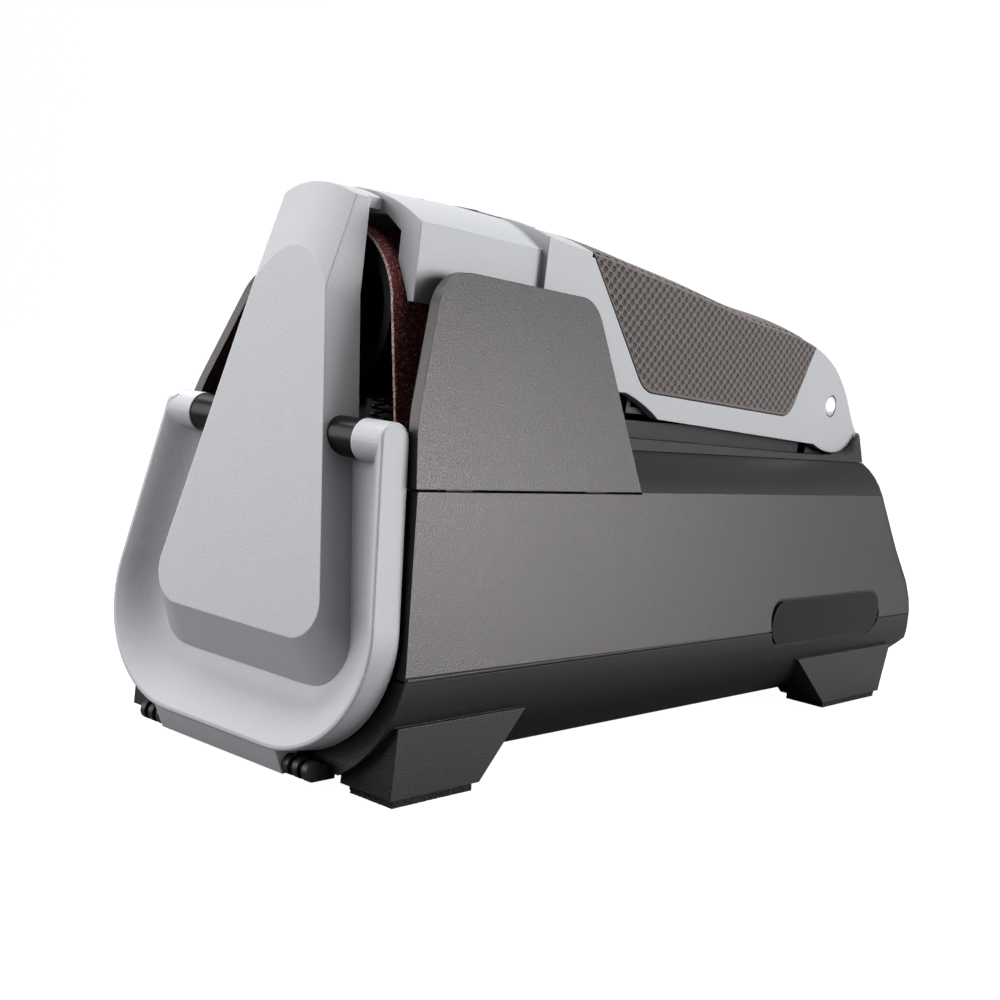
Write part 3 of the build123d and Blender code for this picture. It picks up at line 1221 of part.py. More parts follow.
def tension_spring():
    pitch = (CARRIAGE_BOTTOM_Z - SPRING_SEAT_Z - 2 * SPRING_WIRE - 0.2) / SPRING_TURNS
    start_z = SPRING_SEAT_Z + SPRING_WIRE + 0.1
    middle = FRAME_FRONT - SPRING_RADIUS - SPRING_WIRE - SEAT_GAP
    path = Pos(0, middle, start_z) * Helix(pitch, pitch * SPRING_TURNS, SPRING_RADIUS)
    section = Plane(origin=path @ 0, z_dir=path % 0) * Circle(SPRING_WIRE)
    return sweep(section, path, is_frenet=True)


def belt_bay():
    """Black tub round the lower rollers, open to the front and the top."""
    end = FRAME_FRONT - SEAT_GAP
    depth = GUIDE_DEPTH + FRONT_GAP + SHELL_WALL + SEAT_GAP

    def side_view(low):
        front_low, front_high = front_at(low, depth), front_at(BAY_TOP_Z, depth)
        return [(front_low, low), (end, low), (end, BAY_TOP_Z), (front_high, BAY_TOP_Z)]

    tub = prism_x(side_view(BAY_FLOOR_Z - BAY_WALL), (-BAY_HALF_WIDTH, BAY_HALF_WIDTH))
    tub -= block((-bay_opening(), bay_opening()), (back(0), end + 1), (BAY_FLOOR_Z, BAY_TOP_Z + 1))
    for x in (-26.0, 26.0):
        tub += rod_z(3.0, x, end - 6, (TRAY_BOTTOM_Z + SHELL_WALL, BAY_FLOOR_Z - BAY_WALL / 2))
    return tub


# ---------------------------------------------------------------- motor
def motor_screw_places():
    return [(-ROLLER_X, ROLLER_Z + rise) for rise in (-12.0, 12.0)]


def motor_can():
    y = (MOTOR_FRONT, MOTOR_FRONT + MOTOR_LENGTH)
    can = rod_y(MOTOR_RADIUS, -ROLLER_X, y, ROLLER_Z)
    can -= rod_y(MOTOR_RADIUS - MOTOR_WALL, -ROLLER_X, (y[0] + 2 * MOTOR_WALL, y[1] + 1), ROLLER_Z)
    can += rod_y(MOTOR_BUSH_RADIUS, -ROLLER_X, (y[0] - FRAME_PLATE, y[0] + 0.1), ROLLER_Z)
    can -= rod_y(MOTOR_SHAFT_RADIUS + RUNNING_FIT, -ROLLER_X, (y[0] - 9, y[0] + 9), ROLLER_Z)
    for x, z in motor_screw_places():
        can -= rod_y(SCREW_RADIUS + 0.02, x, (y[0] - 1, y[0] + 2 * MOTOR_WALL + 1), z)
    return can


def motor_screws():
    seat = FRAME_FRONT
    screws = []
    for x, z in motor_screw_places():
        shank = rod_y(SCREW_RADIUS, x, (seat - 0.1, MOTOR_FRONT + 4.0), z)
        head = rod_y(SCREW_HEAD_RADIUS, x, (seat - 1.7, seat), z)
        screws.append(shank + head)
    return group(screws)


def motor_magnets():
    y = (MOTOR_FRONT + 8.0, MOTOR_FRONT + 8.0 + ARMATURE_LENGTH + 4)
    outer = MOTOR_RADIUS - MOTOR_WALL - 0.05
    bore = rod_y(outer - MAGNET_THICKNESS, -ROLLER_X, (y[0] - 1, y[1] + 1), ROLLER_Z)
    ring = rod_y(outer, -ROLLER_X, y, ROLLER_Z) - bore
    gap = block((-60, 20), (y[0] - 1, y[1] + 1), (ROLLER_Z - 5.0, ROLLER_Z + 5.0))
    return group([ring - gap])


def motor_armature():
    y = MOTOR_FRONT + 10.0
    stack = rod_y(ARMATURE_RADIUS, -ROLLER_X, (y, y + ARMATURE_LENGTH), ROLLER_Z)
    for step in range(5):
        angle = radians(72 * step)
        x, z = -ROLLER_X + ARMATURE_RADIUS * cos(angle), ROLLER_Z + ARMATURE_RADIUS * sin(angle)
        stack -= rod_y(1.6, x, (y - 1, y + ARMATURE_LENGTH + 1), z)
    return stack - rod_y(MOTOR_SHAFT_RADIUS + 0.01, -ROLLER_X, (y - 1, y + ARMATURE_LENGTH + 1), ROLLER_Z)


def commutator():
    y = MOTOR_FRONT + 10.0 + ARMATURE_LENGTH + 0.5
    ring = rod_y(COMMUTATOR_RADIUS, -ROLLER_X, (y, y + COMMUTATOR_LENGTH), ROLLER_Z)
    return ring - rod_y(MOTOR_SHAFT_RADIUS + 0.01, -ROLLER_X, (y - 1, y + COMMUTATOR_LENGTH + 1), ROLLER_Z)


def motor_brushes():
    y = MOTOR_FRONT + 10.0 + ARMATURE_LENGTH + 3.0
    brushes = []
    for side in (-1, 1):
        low, high = COMMUTATOR_RADIUS + 0.3, MOTOR_RADIUS - MOTOR_WALL - 0.3
        z = sorted((ROLLER_Z + side * low, ROLLER_Z + side * high))
        brushes.append(block((-ROLLER_X - 2, -ROLLER_X + 2), (y, y + 5), z))
    return group(brushes)


def motor_end_cap():
    y = MOTOR_FRONT + MOTOR_LENGTH + SEAT_GAP
    cap = rod_y(MOTOR_RADIUS, -ROLLER_X, (y, y + 3.0), ROLLER_Z)
    cap += rod_y(MOTOR_BUSH_RADIUS, -ROLLER_X, (y + 2.9, y + 6.0), ROLLER_Z)
    return cap - rod_y(MOTOR_SHAFT_RADIUS + RUNNING_FIT, -ROLLER_X, (y - 1, y + 9), ROLLER_Z)


def motor_shaft():
    y = (back(BELT_FRONT) + 1.0, MOTOR_FRONT + MOTOR_LENGTH + 8.0 + FAN_WIDTH)
    return rod_y(MOTOR_SHAFT_RADIUS, -ROLLER_X, y, ROLLER_Z)


def motor_fan():
    y = MOTOR_FRONT + MOTOR_LENGTH + 7.2
    hub = rod_y(5.0, -ROLLER_X, (y, y + FAN_WIDTH), ROLLER_Z)
    hub += rod_y(FAN_RADIUS, -ROLLER_X, (y, y + 1.2), ROLLER_Z)
    for step in range(FAN_BLADES):
        blade = Pos(10.2, 0, 0) * Box(11.6, FAN_WIDTH, 1.2)
        blade = Pos(-ROLLER_X, y + FAN_WIDTH / 2, ROLLER_Z) * Rot(0, 360 / FAN_BLADES * step, 0) * blade
        hub += blade
    return hub - rod_y(MOTOR_SHAFT_RADIUS + 0.01, -ROLLER_X, (y - 1, y + FAN_WIDTH + 1), ROLLER_Z)


# ---------------------------------------------------------------- electronics
def board_posts():
    dx, dy = MAIN_BOARD[0] / 2 - 5, MAIN_BOARD[1] / 2 - 5
    middle = back(MAIN_BOARD_FRONT) + MAIN_BOARD[1] / 2
    return [(sx * dx, middle + sy * dy) for sx in (-1, 1) for sy in (-1, 1)]


def main_board():
    y = (back(MAIN_BOARD_FRONT), back(MAIN_BOARD_FRONT) + MAIN_BOARD[1])
    return block((-MAIN_BOARD[0] / 2, MAIN_BOARD[0] / 2), y, (MAIN_BOARD_Z, MAIN_BOARD_Z + BOARD_THICKNESS))


def board_part(x, station, size):
    y = back(station)
    z = MAIN_BOARD_Z + BOARD_THICKNESS
    return block((x - size[0] / 2, x + size[0] / 2), (y, y + size[1]), (z, z + size[2]))


def transformer():
    core = board_part(-14, 172, (22, 20, 14))
    bobbin = board_part(-14, 169.5, (14, 25, 11))
    return core + bobbin


def capacitors():
    z = MAIN_BOARD_Z + BOARD_THICKNESS
    return group([rod_z(5.0, x, back(208), (z, z + 18.0)) for x in (-18.0, -4.0)])


def relay():
    return board_part(16, 176, (14, 17, 12))


def heat_sink():
    sink = board_part(20, 206, (16, 3, 20))
    for step in range(4):
        sink += board_part(13.5 + step * 4.33, 208.5, (1.2, 9, 20))
    return sink


def power_inlet():
    y = (back(INLET_FACE) - INLET_LENGTH, back(INLET_FACE) + 1.2)
    barrel = rod_y(INLET_RADIUS, INLET_X, y, INLET_Z)
    flange = rod_y(INLET_RADIUS + 2.4, INLET_X, (back(INLET_FACE) + SEAT_GAP, y[1]), INLET_Z)
    socket = barrel + flange - rod_y(INLET_BORE, INLET_X, (y[1] - 10, y[1] + 1), INLET_Z)
    return socket + rod_y(1.0, INLET_X, (y[1] - 10.5, y[1] - 2), INLET_Z)


def rear_grille():
    plate = Box(GRILLE[0], GRILLE[1], GRILLE_THICKNESS)
    pitch = (GRILLE[0] - 6) / GRILLE_SLOTS
    for step in range(GRILLE_SLOTS):
        x = -GRILLE[0] / 2 + 3 + pitch * (step + 0.5)
        plate -= Pos(x, 0, 0) * Box(pitch - 2.0, GRILLE[1] - 5, GRILLE_THICKNESS + 1)
    return grille_plane() * Pos(0, 0, -GRILLE_THICKNESS / 2 - 0.2) * plate


def case_screws():
    screws = []
    for x, y in screw_places():
        seat = TRAY_BOTTOM_Z + 8.0
        shank = rod_z(SCREW_RADIUS, x, y, (seat - 0.1, 50.0))
        head = rod_z(SCREW_HEAD_RADIUS, x, y, (seat - SCREW_HEAD - 0.1, seat - 0.1))
        screws.append(shank + head)
    return group(screws)


NODES = {
    "base_tray": base_tray,
    "foot_pads": foot_pads,
    "upper_housing": upper_housing,
    "cheek_right": lambda: cheek(1),
    "cheek_left": lambda: cheek(-1),
    "side_plate_right": lambda: badge(1),
    "side_plate_left": lambda: badge(-1),
    "rear_deck": rear_deck,
    "pivot_pin": pivot_pin,
    "arm_shell": arm_shell,
    "arm_cover": arm_cover,
    "grip_pad_right": lambda: grip_pad(1),
    "grip_pad_left": lambda: grip_pad(-1),
    "grip_pad_top": grip_pad_top,
    "control_panel": control_panel,
    "power_button": lambda: button(POWER_BUTTON_RADIUS, POWER_BUTTON_Y),
    "program_button": lambda: button(PROGRAM_BUTTON_RADIUS, PROGRAM_BUTTON_Y),
    "indicator_lenses": indicator_lenses,
    "control_board": control_board,
    "tact_switches": tact_switches,
    "front_guide": front_guide,
    "guide_rods": guide_rods,
    "guide_hinge_pins": hinge_pins,
    "abrasive_belt": abrasive_belt,
    "top_pulley": top_pulley,
    "top_pulley_bearings": lambda: bearings(0, TOP_PULLEY_Z, BEARING_RADIUS),
    "top_axle": top_axle,
    "idler_roller": idler_roller,
    "idler_bearings": lambda: bearings(ROLLER_X, ROLLER_Z, BEARING_RADIUS - 1.0),
    "idler_axle": idler_axle,
    "drive_roller": drive_roller,
    "belt_frame": belt_frame,
    "tension_carriage": tension_carriage,
    "tension_spring": tension_spring,
    "belt_bay": belt_bay,
    "motor_can": motor_can,
    "motor_screws": motor_screws,
    "motor_magnets": motor_magnets,
    "motor_armature": motor_armature,
    "motor_commutator": commutator,
    "motor_brushes": motor_brushes,
    "motor_end_cap": motor_end_cap,
    "motor_shaft": motor_shaft,
    "motor_fan": motor_fan,
    "main_board": main_board,
    "transformer": transformer,
    "capacitors": capacitors,
    "relay": relay,
    "heat_sink": heat_sink,
    "power_inlet": power_inlet,
    "rear_grille": rear_grille,
    "case_screws": case_screws,
}

os.makedirs("parts", exist_ok=True)
for name, make in NODES.items():
    export_step(make(), f"parts/{name}.step")
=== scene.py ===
"""Electric knife sharpener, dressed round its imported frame. Metres, +Z up, front at -Y."""

import math

import bmesh
import bpy
from mathutils import Matrix, Vector, noise


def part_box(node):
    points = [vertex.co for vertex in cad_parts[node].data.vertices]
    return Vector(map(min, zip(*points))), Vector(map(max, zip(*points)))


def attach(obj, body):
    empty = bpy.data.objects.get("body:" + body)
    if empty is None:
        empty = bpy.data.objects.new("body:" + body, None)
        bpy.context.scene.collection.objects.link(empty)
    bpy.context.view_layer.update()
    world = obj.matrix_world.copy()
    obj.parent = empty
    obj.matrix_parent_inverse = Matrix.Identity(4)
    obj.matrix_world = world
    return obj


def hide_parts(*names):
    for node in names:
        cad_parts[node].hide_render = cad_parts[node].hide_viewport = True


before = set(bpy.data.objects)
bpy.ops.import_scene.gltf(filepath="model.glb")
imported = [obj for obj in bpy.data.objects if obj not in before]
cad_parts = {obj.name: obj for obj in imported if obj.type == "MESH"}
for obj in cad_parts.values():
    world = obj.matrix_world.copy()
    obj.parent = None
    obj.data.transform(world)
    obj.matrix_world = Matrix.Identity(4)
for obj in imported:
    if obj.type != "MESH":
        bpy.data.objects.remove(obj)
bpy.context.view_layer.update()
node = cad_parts

# ---------------------------------------------------------------- camera
# A camera on a low tripod, to the right of the machine's front. Its height is the top of the
# cheeks, so the deck is seen almost edge on.
turn = Vector((1.54746737, 0.652270737, -0.426676337))
world_to_camera = Matrix.Rotation(turn.length, 3, turn.normalized())
right, down, ahead = world_to_camera
eye = Vector((0.271632, -0.383897, 0.106543))
camera = bpy.data.objects.new("camera", bpy.data.cameras.new("camera"))
camera.data.sensor_width = 36
camera.data.lens = 51.6686
camera.data.clip_start = 0.01
camera.matrix_world = Matrix(
    [[right[i], -down[i], -ahead[i], eye[i]] for i in range(3)] + [[0, 0, 0, 1]]
)
bpy.context.scene.collection.objects.link(camera)
bpy.context.scene.camera = camera


# ---------------------------------------------------------------- floor and light
# A white studio table that runs into a white wall. One low soft box stands behind the machine's
# right side and one beside it, one stands before its left, and one hangs over its left.
def link(obj):
    bpy.context.scene.collection.objects.link(obj)
    return obj


def mesh_piece(name, verts, faces, smooth=True):
    mesh = bpy.data.meshes.new(name)
    mesh.from_pydata([tuple(v) for v in verts], [], faces)
    mesh.validate()
    for face in mesh.polygons:
        face.use_smooth = smooth
    return link(bpy.data.objects.new(name, mesh))


def soft_box(name, place, target, size, strength):
    data = bpy.data.lights.new(name, "AREA")
    data.shape = "RECTANGLE"
    data.size, data.size_y = size
    data.energy = strength
    lamp = link(bpy.data.objects.new(name, data))
    lamp.location = place
    lamp.rotation_euler = (Vector(target) - Vector(place)).to_track_quat("-Z", "Y").to_euler()
    lamp.visible_camera = False


sweep = []
for y, z in [(-3, 0), (1.2, 0), (1.6, 0.06), (1.9, 0.25), (2.05, 0.6), (2.1, 3.0)]:
    sweep += [(-4, y, z), (4, y, z)]
strips = [(k, k + 1, k + 3, k + 2) for k in range(0, len(sweep) - 2, 2)]
table = mesh_piece("studio_table", sweep, strips)
paper = bpy.data.materials.new("white_paper")
paper.use_nodes = True
sheet = paper.node_tree.nodes["Principled BSDF"]
sheet.inputs["Base Color"].default_value = (0.22, 0.22, 0.22, 1)
sheet.inputs["Roughness"].default_value = 0.9
sheet.inputs["Specular IOR Level"].default_value = 0.1
seen = paper.node_tree.nodes.new("ShaderNodeLightPath")
lift = paper.node_tree.nodes.new("ShaderNodeMath")
lift.operation = "MULTIPLY"
lift.inputs[1].default_value = 0.98
paper.node_tree.links.new(seen.outputs["Is Camera Ray"], lift.inputs[0])
sheet.inputs["Emission Color"].default_value = (1, 1, 1, 1)
paper.node_tree.links.new(lift.outputs[0], sheet.inputs["Emission Strength"])
table.data.materials.append(paper)

soft_box("soft_box_right_rear", (1.24, 0.74, 0.33), (0, -0.07, 0.07), (0.8, 0.6), 21)
soft_box("soft_box_right", (1.35, -0.12, 0.34), (0, -0.05, 0.09), (0.6, 0.5), 2.5)
soft_box("soft_box_front_left", (-0.75, -1.15, 0.45), (0, -0.1, 0.07), (1.2, 1.0), 19)
soft_box("soft_box_overhead", (-0.55, 0.05, 1.3), (0, 0, 0.1), (1.1, 1.2), 34)

air = bpy.data.worlds.new("studio")
air.use_nodes = True
bpy.context.scene.world = air
glow = air.node_tree.nodes["Background"]
to_eye = air.node_tree.nodes.new("ShaderNodeLightPath")
level = air.node_tree.nodes.new("ShaderNodeMapRange")
level.inputs["To Min"].default_value = 0.07
level.inputs["To Max"].default_value = 1.0
air.node_tree.links.new(to_eye.outputs["Is Camera Ray"], level.inputs["Value"])
air.node_tree.links.new(level.outputs[0], glow.inputs["Strength"])
glow.inputs["Color"].default_value = (1, 1, 1, 1)
bpy.context.scene.view_settings.view_transform = "Standard"


# ---------------------------------------------------------------- upper housing and cheeks
# Injection-moulded ABS in a warm dark gray. The mould was spark-eroded, which leaves a fine even
# grain. The cheeks clip in behind the housing's wall and show a thin dark seam. The walls that face
# the guide lie in its shade, which is painted: their colour is darkened to near black. Painted shade
# also darkens the corners, and a painted highlight lightens the edges.
FLOAT, COLOUR, VECTOR = "NodeSocketFloat", "NodeSocketColor", "NodeSocketVector"


class Recipe:
    """A shader node group while it is being wired: named sockets, steps and links."""

    def __init__(self, name, inputs, outputs):
        self.group = bpy.data.node_groups.new(name, "ShaderNodeTree")
        for socket, kind, value in inputs:
            made = self.group.interface.new_socket(socket, in_out="INPUT", socket_type=kind)
            made.default_value = value
        for socket, kind in outputs:
            self.group.interface.new_socket(socket, in_out="OUTPUT", socket_type=kind)
        self.given = self.group.nodes.new("NodeGroupInput").outputs
        self.gives = self.group.nodes.new("NodeGroupOutput").inputs

    def wire(self, source, target):
        self.group.links.new(source, target)

    def step(self, kind, *feeds, **settings):
        """One node: feeds are sockets or numbers for its inputs in order."""
        made = self.group.nodes.new("ShaderNode" + kind)
        for key, value in settings.items():
            if hasattr(made, key):
                setattr(made, key, value)
            else:
                made.inputs[key.replace("_", " ")].default_value = value
        for socket, feed in zip(made.inputs, feeds):
            if isinstance(feed, bpy.types.NodeSocket):
                self.wire(feed, socket)
            elif feed is not None:
                socket.default_value = feed
        return made

    def math(self, operation, *feeds):
        return self.step("Math", *feeds, operation=operation).outputs[0]

    def centred(self, source, amount):
        """1 plus amount times the source's distance from a half."""
        return self.math("MULTIPLY_ADD", self.math("SUBTRACT", source, 0.5), amount, 1.0)

    def ramp(self, value, low, high, to_low=0.0, to_high=1.0):
        return self.step("MapRange", value, low, high, to_low, to_high).outputs[0]

    def mix(self, share, first, second):
        made = self.step("Mix", data_type="RGBA")
        for socket, feed in ((made.inputs[0], share), (made.inputs[6], first), (made.inputs[7], second)):
            if isinstance(feed, bpy.types.NodeSocket):
                self.wire(feed, socket)
            else:
                socket.default_value = feed
        return made.outputs[2]

    def scaled(self, colour, amount):
        made = self.step("VectorMath", operation="SCALE")
        self.wire(colour, made.inputs[0])
        self.wire(amount, made.inputs["Scale"])
        return made.outputs[0]

    def noise(self, where, scale, detail=2.0, roughness=0.5):
        made = self.step("TexNoise", Detail=detail, Roughness=roughness)
        self.wire(where, made.inputs["Vector"])
        if isinstance(scale, bpy.types.NodeSocket):
            self.wire(scale, made.inputs["Scale"])
        else:
            made.inputs["Scale"].default_value = scale
        return made.outputs["Fac"]

    def relief(self, height, strength, under=None, distance=0.001):
        made = self.step("Bump", Distance=distance)
        self.wire(height, made.inputs["Height"])
        self.wire(strength, made.inputs["Strength"])
        if under:
            self.wire(under, made.inputs["Normal"])
        return made.outputs[0]


# Moulded grain: pits of the textured mould and slow cloudiness of the plastic, with a painted highlight
# along the edges, and painted shade in the corners and on the walls that face the front. Grain and edges are
# in millimetres, the corners' reach is in metres.
mould = Recipe(
    "moulded_grain",
    [("Base Color", COLOUR, (0.1, 0.1, 0.1, 1)), ("Edge Color", COLOUR, (0.2, 0.2, 0.2, 1)),
     ("Grain Size", FLOAT, 0.5), ("Grain Depth", FLOAT, 0.03), ("Mottle", FLOAT, 0.2),
     ("Speckle", FLOAT, 0.2), ("Roughness", FLOAT, 0.5), ("Edge Radius", FLOAT, 0.4),
     ("Corner Dark", FLOAT, 0.5), ("Corner Reach", FLOAT, 0.007), ("Front Dark", FLOAT, 0.0)],
    [("Color", COLOUR), ("Roughness", FLOAT), ("Normal", VECTOR)],
)
spot = mould.step("TexCoord").outputs["Object"]
pits = mould.noise(spot, mould.math("DIVIDE", 1000.0, mould.given["Grain Size"]), 2.0, 0.55)
clouds = mould.noise(spot, 28.0, 3.0)
tint = mould.math("MULTIPLY", mould.centred(pits, mould.given["Speckle"]),
                  mould.centred(clouds, mould.given["Mottle"]))
edge_radius = mould.math("MULTIPLY", mould.given["Edge Radius"], 0.001)
rounded = mould.step("Bevel", edge_radius, samples=6).outputs[0]
flat = mould.step("NewGeometry").outputs["Normal"]
along = mould.step("VectorMath", rounded, flat, operation="DOT_PRODUCT").outputs["Value"]
# Where the bevelled normal turns away from the face's own, the edge colour is mixed in: a painted highlight.
painted_edge_highlight = mould.ramp(along, 0.985, 0.82)
# Corners that ambient occlusion finds close are darkened by Corner Dark: painted shade.
hollow = mould.step("AmbientOcclusion", mould.given["Corner Reach"], samples=8).outputs["AO"]
painted_corner_shade = mould.math("MULTIPLY", mould.ramp(hollow, 0.75, 0.15), mould.given["Corner Dark"])
corner = mould.math("SUBTRACT", 1.0, painted_corner_shade)
# Walls whose object normal faces the front are darkened by Front Dark: painted shade.
facing = mould.step("SeparateXYZ", mould.step("TexCoord").outputs["Normal"]).outputs["Y"]
shaded = mould.math("MULTIPLY", mould.ramp(facing, -0.93, -0.985), mould.given["Front Dark"])
corner = mould.math("MULTIPLY", corner, mould.math("SUBTRACT", 1.0, shaded))
mould.wire(mould.scaled(mould.mix(painted_edge_highlight, mould.given["Base Color"], mould.given["Edge Color"]),
                        mould.math("MULTIPLY", tint, corner)), mould.gives["Color"])
uneven = mould.math("MULTIPLY", mould.centred(clouds, mould.given["Mottle"]),
                    mould.centred(pits, mould.math("MULTIPLY", mould.given["Speckle"], 0.6)))
mould.wire(mould.math("MULTIPLY", mould.given["Roughness"], uneven), mould.gives["Roughness"])
mould.wire(mould.relief(pits, mould.given["Grain Depth"], rounded), mould.gives["Normal"])


def finish(name, recipe, values, **constants):
    """Material: a group feeds colour, roughness and normal; constants go on the shader."""
    material = bpy.data.materials.new(name)
    material.use_nodes = True
    tree = material.node_tree
    shader = tree.nodes["Principled BSDF"]
    source = tree.nodes.new("ShaderNodeGroup")
    source.node_tree = recipe.group
    for socket, value in values.items():
        source.inputs[socket].default_value = value
    for socket, target in (("Color", "Base Color"), ("Roughness", "Roughness"), ("Normal", "Normal")):
        if socket in source.outputs:
            tree.links.new(source.outputs[socket], shader.inputs[target])
    for socket, value in constants.items():
        shader.inputs[socket.replace("_", " ")].default_value = value
    return material


def plastic(name, base, edge, size=0.45, depth=0.25, mottle=0.12, speckle=0.5, rough=0.5, radius=0.35,
            corner=0.6, reach=0.007, front=0.0, **more):
    return finish(name, mould, {
        "Base Color": (*base, 1), "Edge Color": (*edge, 1), "Grain Size": size, "Grain Depth": depth,
        "Mottle": mottle, "Speckle": speckle, "Roughness": rough, "Edge Radius": radius,
        "Corner Dark": corner, "Corner Reach": reach, "Front Dark": front}, **more)


def dress(material, *names):
    for name in names:
        slots = node[name].data.materials
        slots.clear()
        slots.append(material)


dark_gray = plastic("warm_dark_gray_abs", (0.030, 0.027, 0.027), (0.17, 0.158, 0.158), size=0.42,
                    depth=0.13, speckle=1.4, rough=0.38, radius=0.3, corner=0.9, front=0.97,
                    Specular_Tint=(1, 0.94, 0.95, 1))
dress(dark_gray, "upper_housing", "cheek_right", "cheek_left")

# ---------------------------------------------------------------- base tray and feet
# The lower half of the hull, moulded with its four feet and the guide's hinge ribs. Its plastic is
# nearly black. Pads of open black foam are glued under the feet and have torn, ragged sides.
# Painted shade darkens its front-facing walls under the guide, and its corners.
tray_black = plastic("black_tray_abs", (0.036, 0.0325, 0.0335), (0.1, 0.092, 0.095), size=0.42, depth=0.13,
                     speckle=1.1, rough=0.44, radius=0.3, corner=0.9, front=0.97,
                     Specular_IOR_Level=0.36)
dress(tray_black, "base_tray")


def grid_slab(low, high, cuts):
    """Closed box between two corners as a bmesh, each side divided into cells."""
    shape = bmesh.new()
    for axis in range(3):
        u, v = (axis + 1) % 3, (axis + 2) % 3
        for end in (low, high):
            rows = []
            for i in range(cuts[u] + 1):
                row = []
                for j in range(cuts[v] + 1):
                    place = [0, 0, 0]
                    place[axis] = end[axis]
                    place[u] = low[u] + (high[u] - low[u]) * i / cuts[u]
                    place[v] = low[v] + (high[v] - low[v]) * j / cuts[v]
                    row.append(shape.verts.new(place))
                rows.append(row)
            for i in range(cuts[u]):
                for j in range(cuts[v]):
                    shape.faces.new((rows[i][j], rows[i + 1][j], rows[i + 1][j + 1], rows[i][j + 1]))
    bmesh.ops.remove_doubles(shape, verts=shape.verts, dist=1e-6)
    bmesh.ops.recalc_face_normals(shape, faces=shape.faces)
    return shape


foam = plastic("open_foam", (0.014, 0.013, 0.013), (0.05, 0.048, 0.048), size=0.7, depth=1.0, speckle=1.8,
               rough=0.95, radius=0.1, corner=0.5)
FOAM_CELLS, FOAM_EDGE = (28, 44, 5), 0.0001
COARSE_TEAR, COARSE_PACE = 0.0007, 1500
FINE_TEAR, FINE_PACE = 0.0004, 4000
foam_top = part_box("foot_pads")[1][2]
pad_ends = sorted({round(v.co.y, 5) for v in node["foot_pads"].data.vertices})
pad_sides = sorted({round(v.co.x, 5) for v in node["foot_pads"].data.vertices})
torn = bmesh.new()
for x0, x1 in (pad_sides[:2], pad_sides[2:]):
    for y0, y1 in (pad_ends[:2], pad_ends[2:]):
        block = grid_slab((x0, y0, 0), (x1, y1, foam_top), FOAM_CELLS)
        middle = Vector(((x0 + x1) / 2, (y0 + y1) / 2, foam_top / 2))
        for vert in block.verts:
            side = FOAM_EDGE < vert.co.z < foam_top - FOAM_EDGE
            pull = COARSE_TEAR * abs(noise.noise(vert.co * COARSE_PACE))
            pull += FINE_TEAR * abs(noise.noise(vert.co * FINE_PACE))
            inward = Vector((middle.x - vert.co.x, middle.y - vert.co.y, 0)).normalized()
            vert.co += inward * (pull if side else pull * 0.5)
        part = bpy.data.meshes.new("pad_part")
        block.to_mesh(part)
        block.free()
        torn.from_mesh(part)
        bpy.data.meshes.remove(part)
torn_mesh = bpy.data.meshes.new("foam_foot_pads")
torn.to_mesh(torn_mesh)
torn.free()
for face in torn_mesh.polygons:
    face.use_smooth = False
pads = link(bpy.data.objects.new("foam_foot_pads", torn_mesh))
pads.data.materials.append(foam)
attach(pads, "base")
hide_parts("foot_pads")

# ---------------------------------------------------------------- side plates
# Two smooth pill-shaped plates, bare, that snap into pockets across the joint between the tray and
# the housing. Their faces are polished, and the pocket shows as a black line round them.
plate_black = plastic("smooth_black_plate", (0.009, 0.0085, 0.011), (0.12, 0.115, 0.12), size=0.6,
                      depth=0.02, mottle=0.2, speckle=0.15, rough=0.24, radius=0.25, corner=0.4,
                      Specular_IOR_Level=0.25)
dress(plate_black, "side_plate_right", "side_plate_left")

# ---------------------------------------------------------------- rear deck
# The trough under the arm, with a ledge along its sides and the cradle round the arm's tail. It is
# a deeper black than the tray and lies in the arm's shade; painted shade darkens its corners and its
# front-facing walls further.
deck_black = plastic("black_deck_abs", (0.013, 0.012, 0.0125), (0.09, 0.085, 0.086), size=0.42, depth=0.2,
                     speckle=0.9, rough=0.46, corner=1.0, front=0.9, Specular_IOR_Level=0.3)
dress(deck_black, "rear_deck")

# ---------------------------------------------------------------- arm shell
# The long grip arm, in a cool light gray ABS with a much finer grain than the hull's. Its edges
# are rounded in the shading and carry a painted highlight as thin bright lines; painted shade darkens its
# corners.
light_gray = plastic("cool_light_gray_abs", (0.47, 0.48, 0.505), (0.86, 0.87, 0.89), size=0.34, depth=0.14,
                     mottle=0.06, speckle=0.3, rough=0.46, radius=0.6, corner=0.5, reach=0.016)
dress(light_gray, "arm_shell")

# ---------------------------------------------------------------- arm cover
# A plain black moulding under the arm, that hides the button board and slides over the belt guard.
cover_black = plastic("black_cover_abs", (0.018, 0.017, 0.018), (0.05, 0.048, 0.05), size=0.4,
                      speckle=0.5, rough=0.5, corner=0.9)
dress(cover_black, "arm_cover")

# ---------------------------------------------------------------- grip pads
# Soft gray-brown rubber, moulded onto the arm's top and both its sides. Each side pad carries
# slanting rows of small rings: a round groove about a low pip. The top pad has cross ribs.
rubber = plastic("gray_brown_rubber", (0.198, 0.172, 0.166), (0.5, 0.47, 0.46), size=0.34,
                 depth=0.35, mottle=0.1, speckle=0.9, rough=0.72, radius=0.2, corner=0.9)
dress(rubber, "grip_pad_top")
# The grooves' faces get a darker rubber: painted shade in the rings.
groove_shade_rubber = plastic("rubber_with_painted_groove_shade", (0.105, 0.089, 0.085), (0.1, 0.09, 0.085), size=0.3,
                        depth=0.2, speckle=0.6, rough=0.85, radius=0.05, corner=0.6)

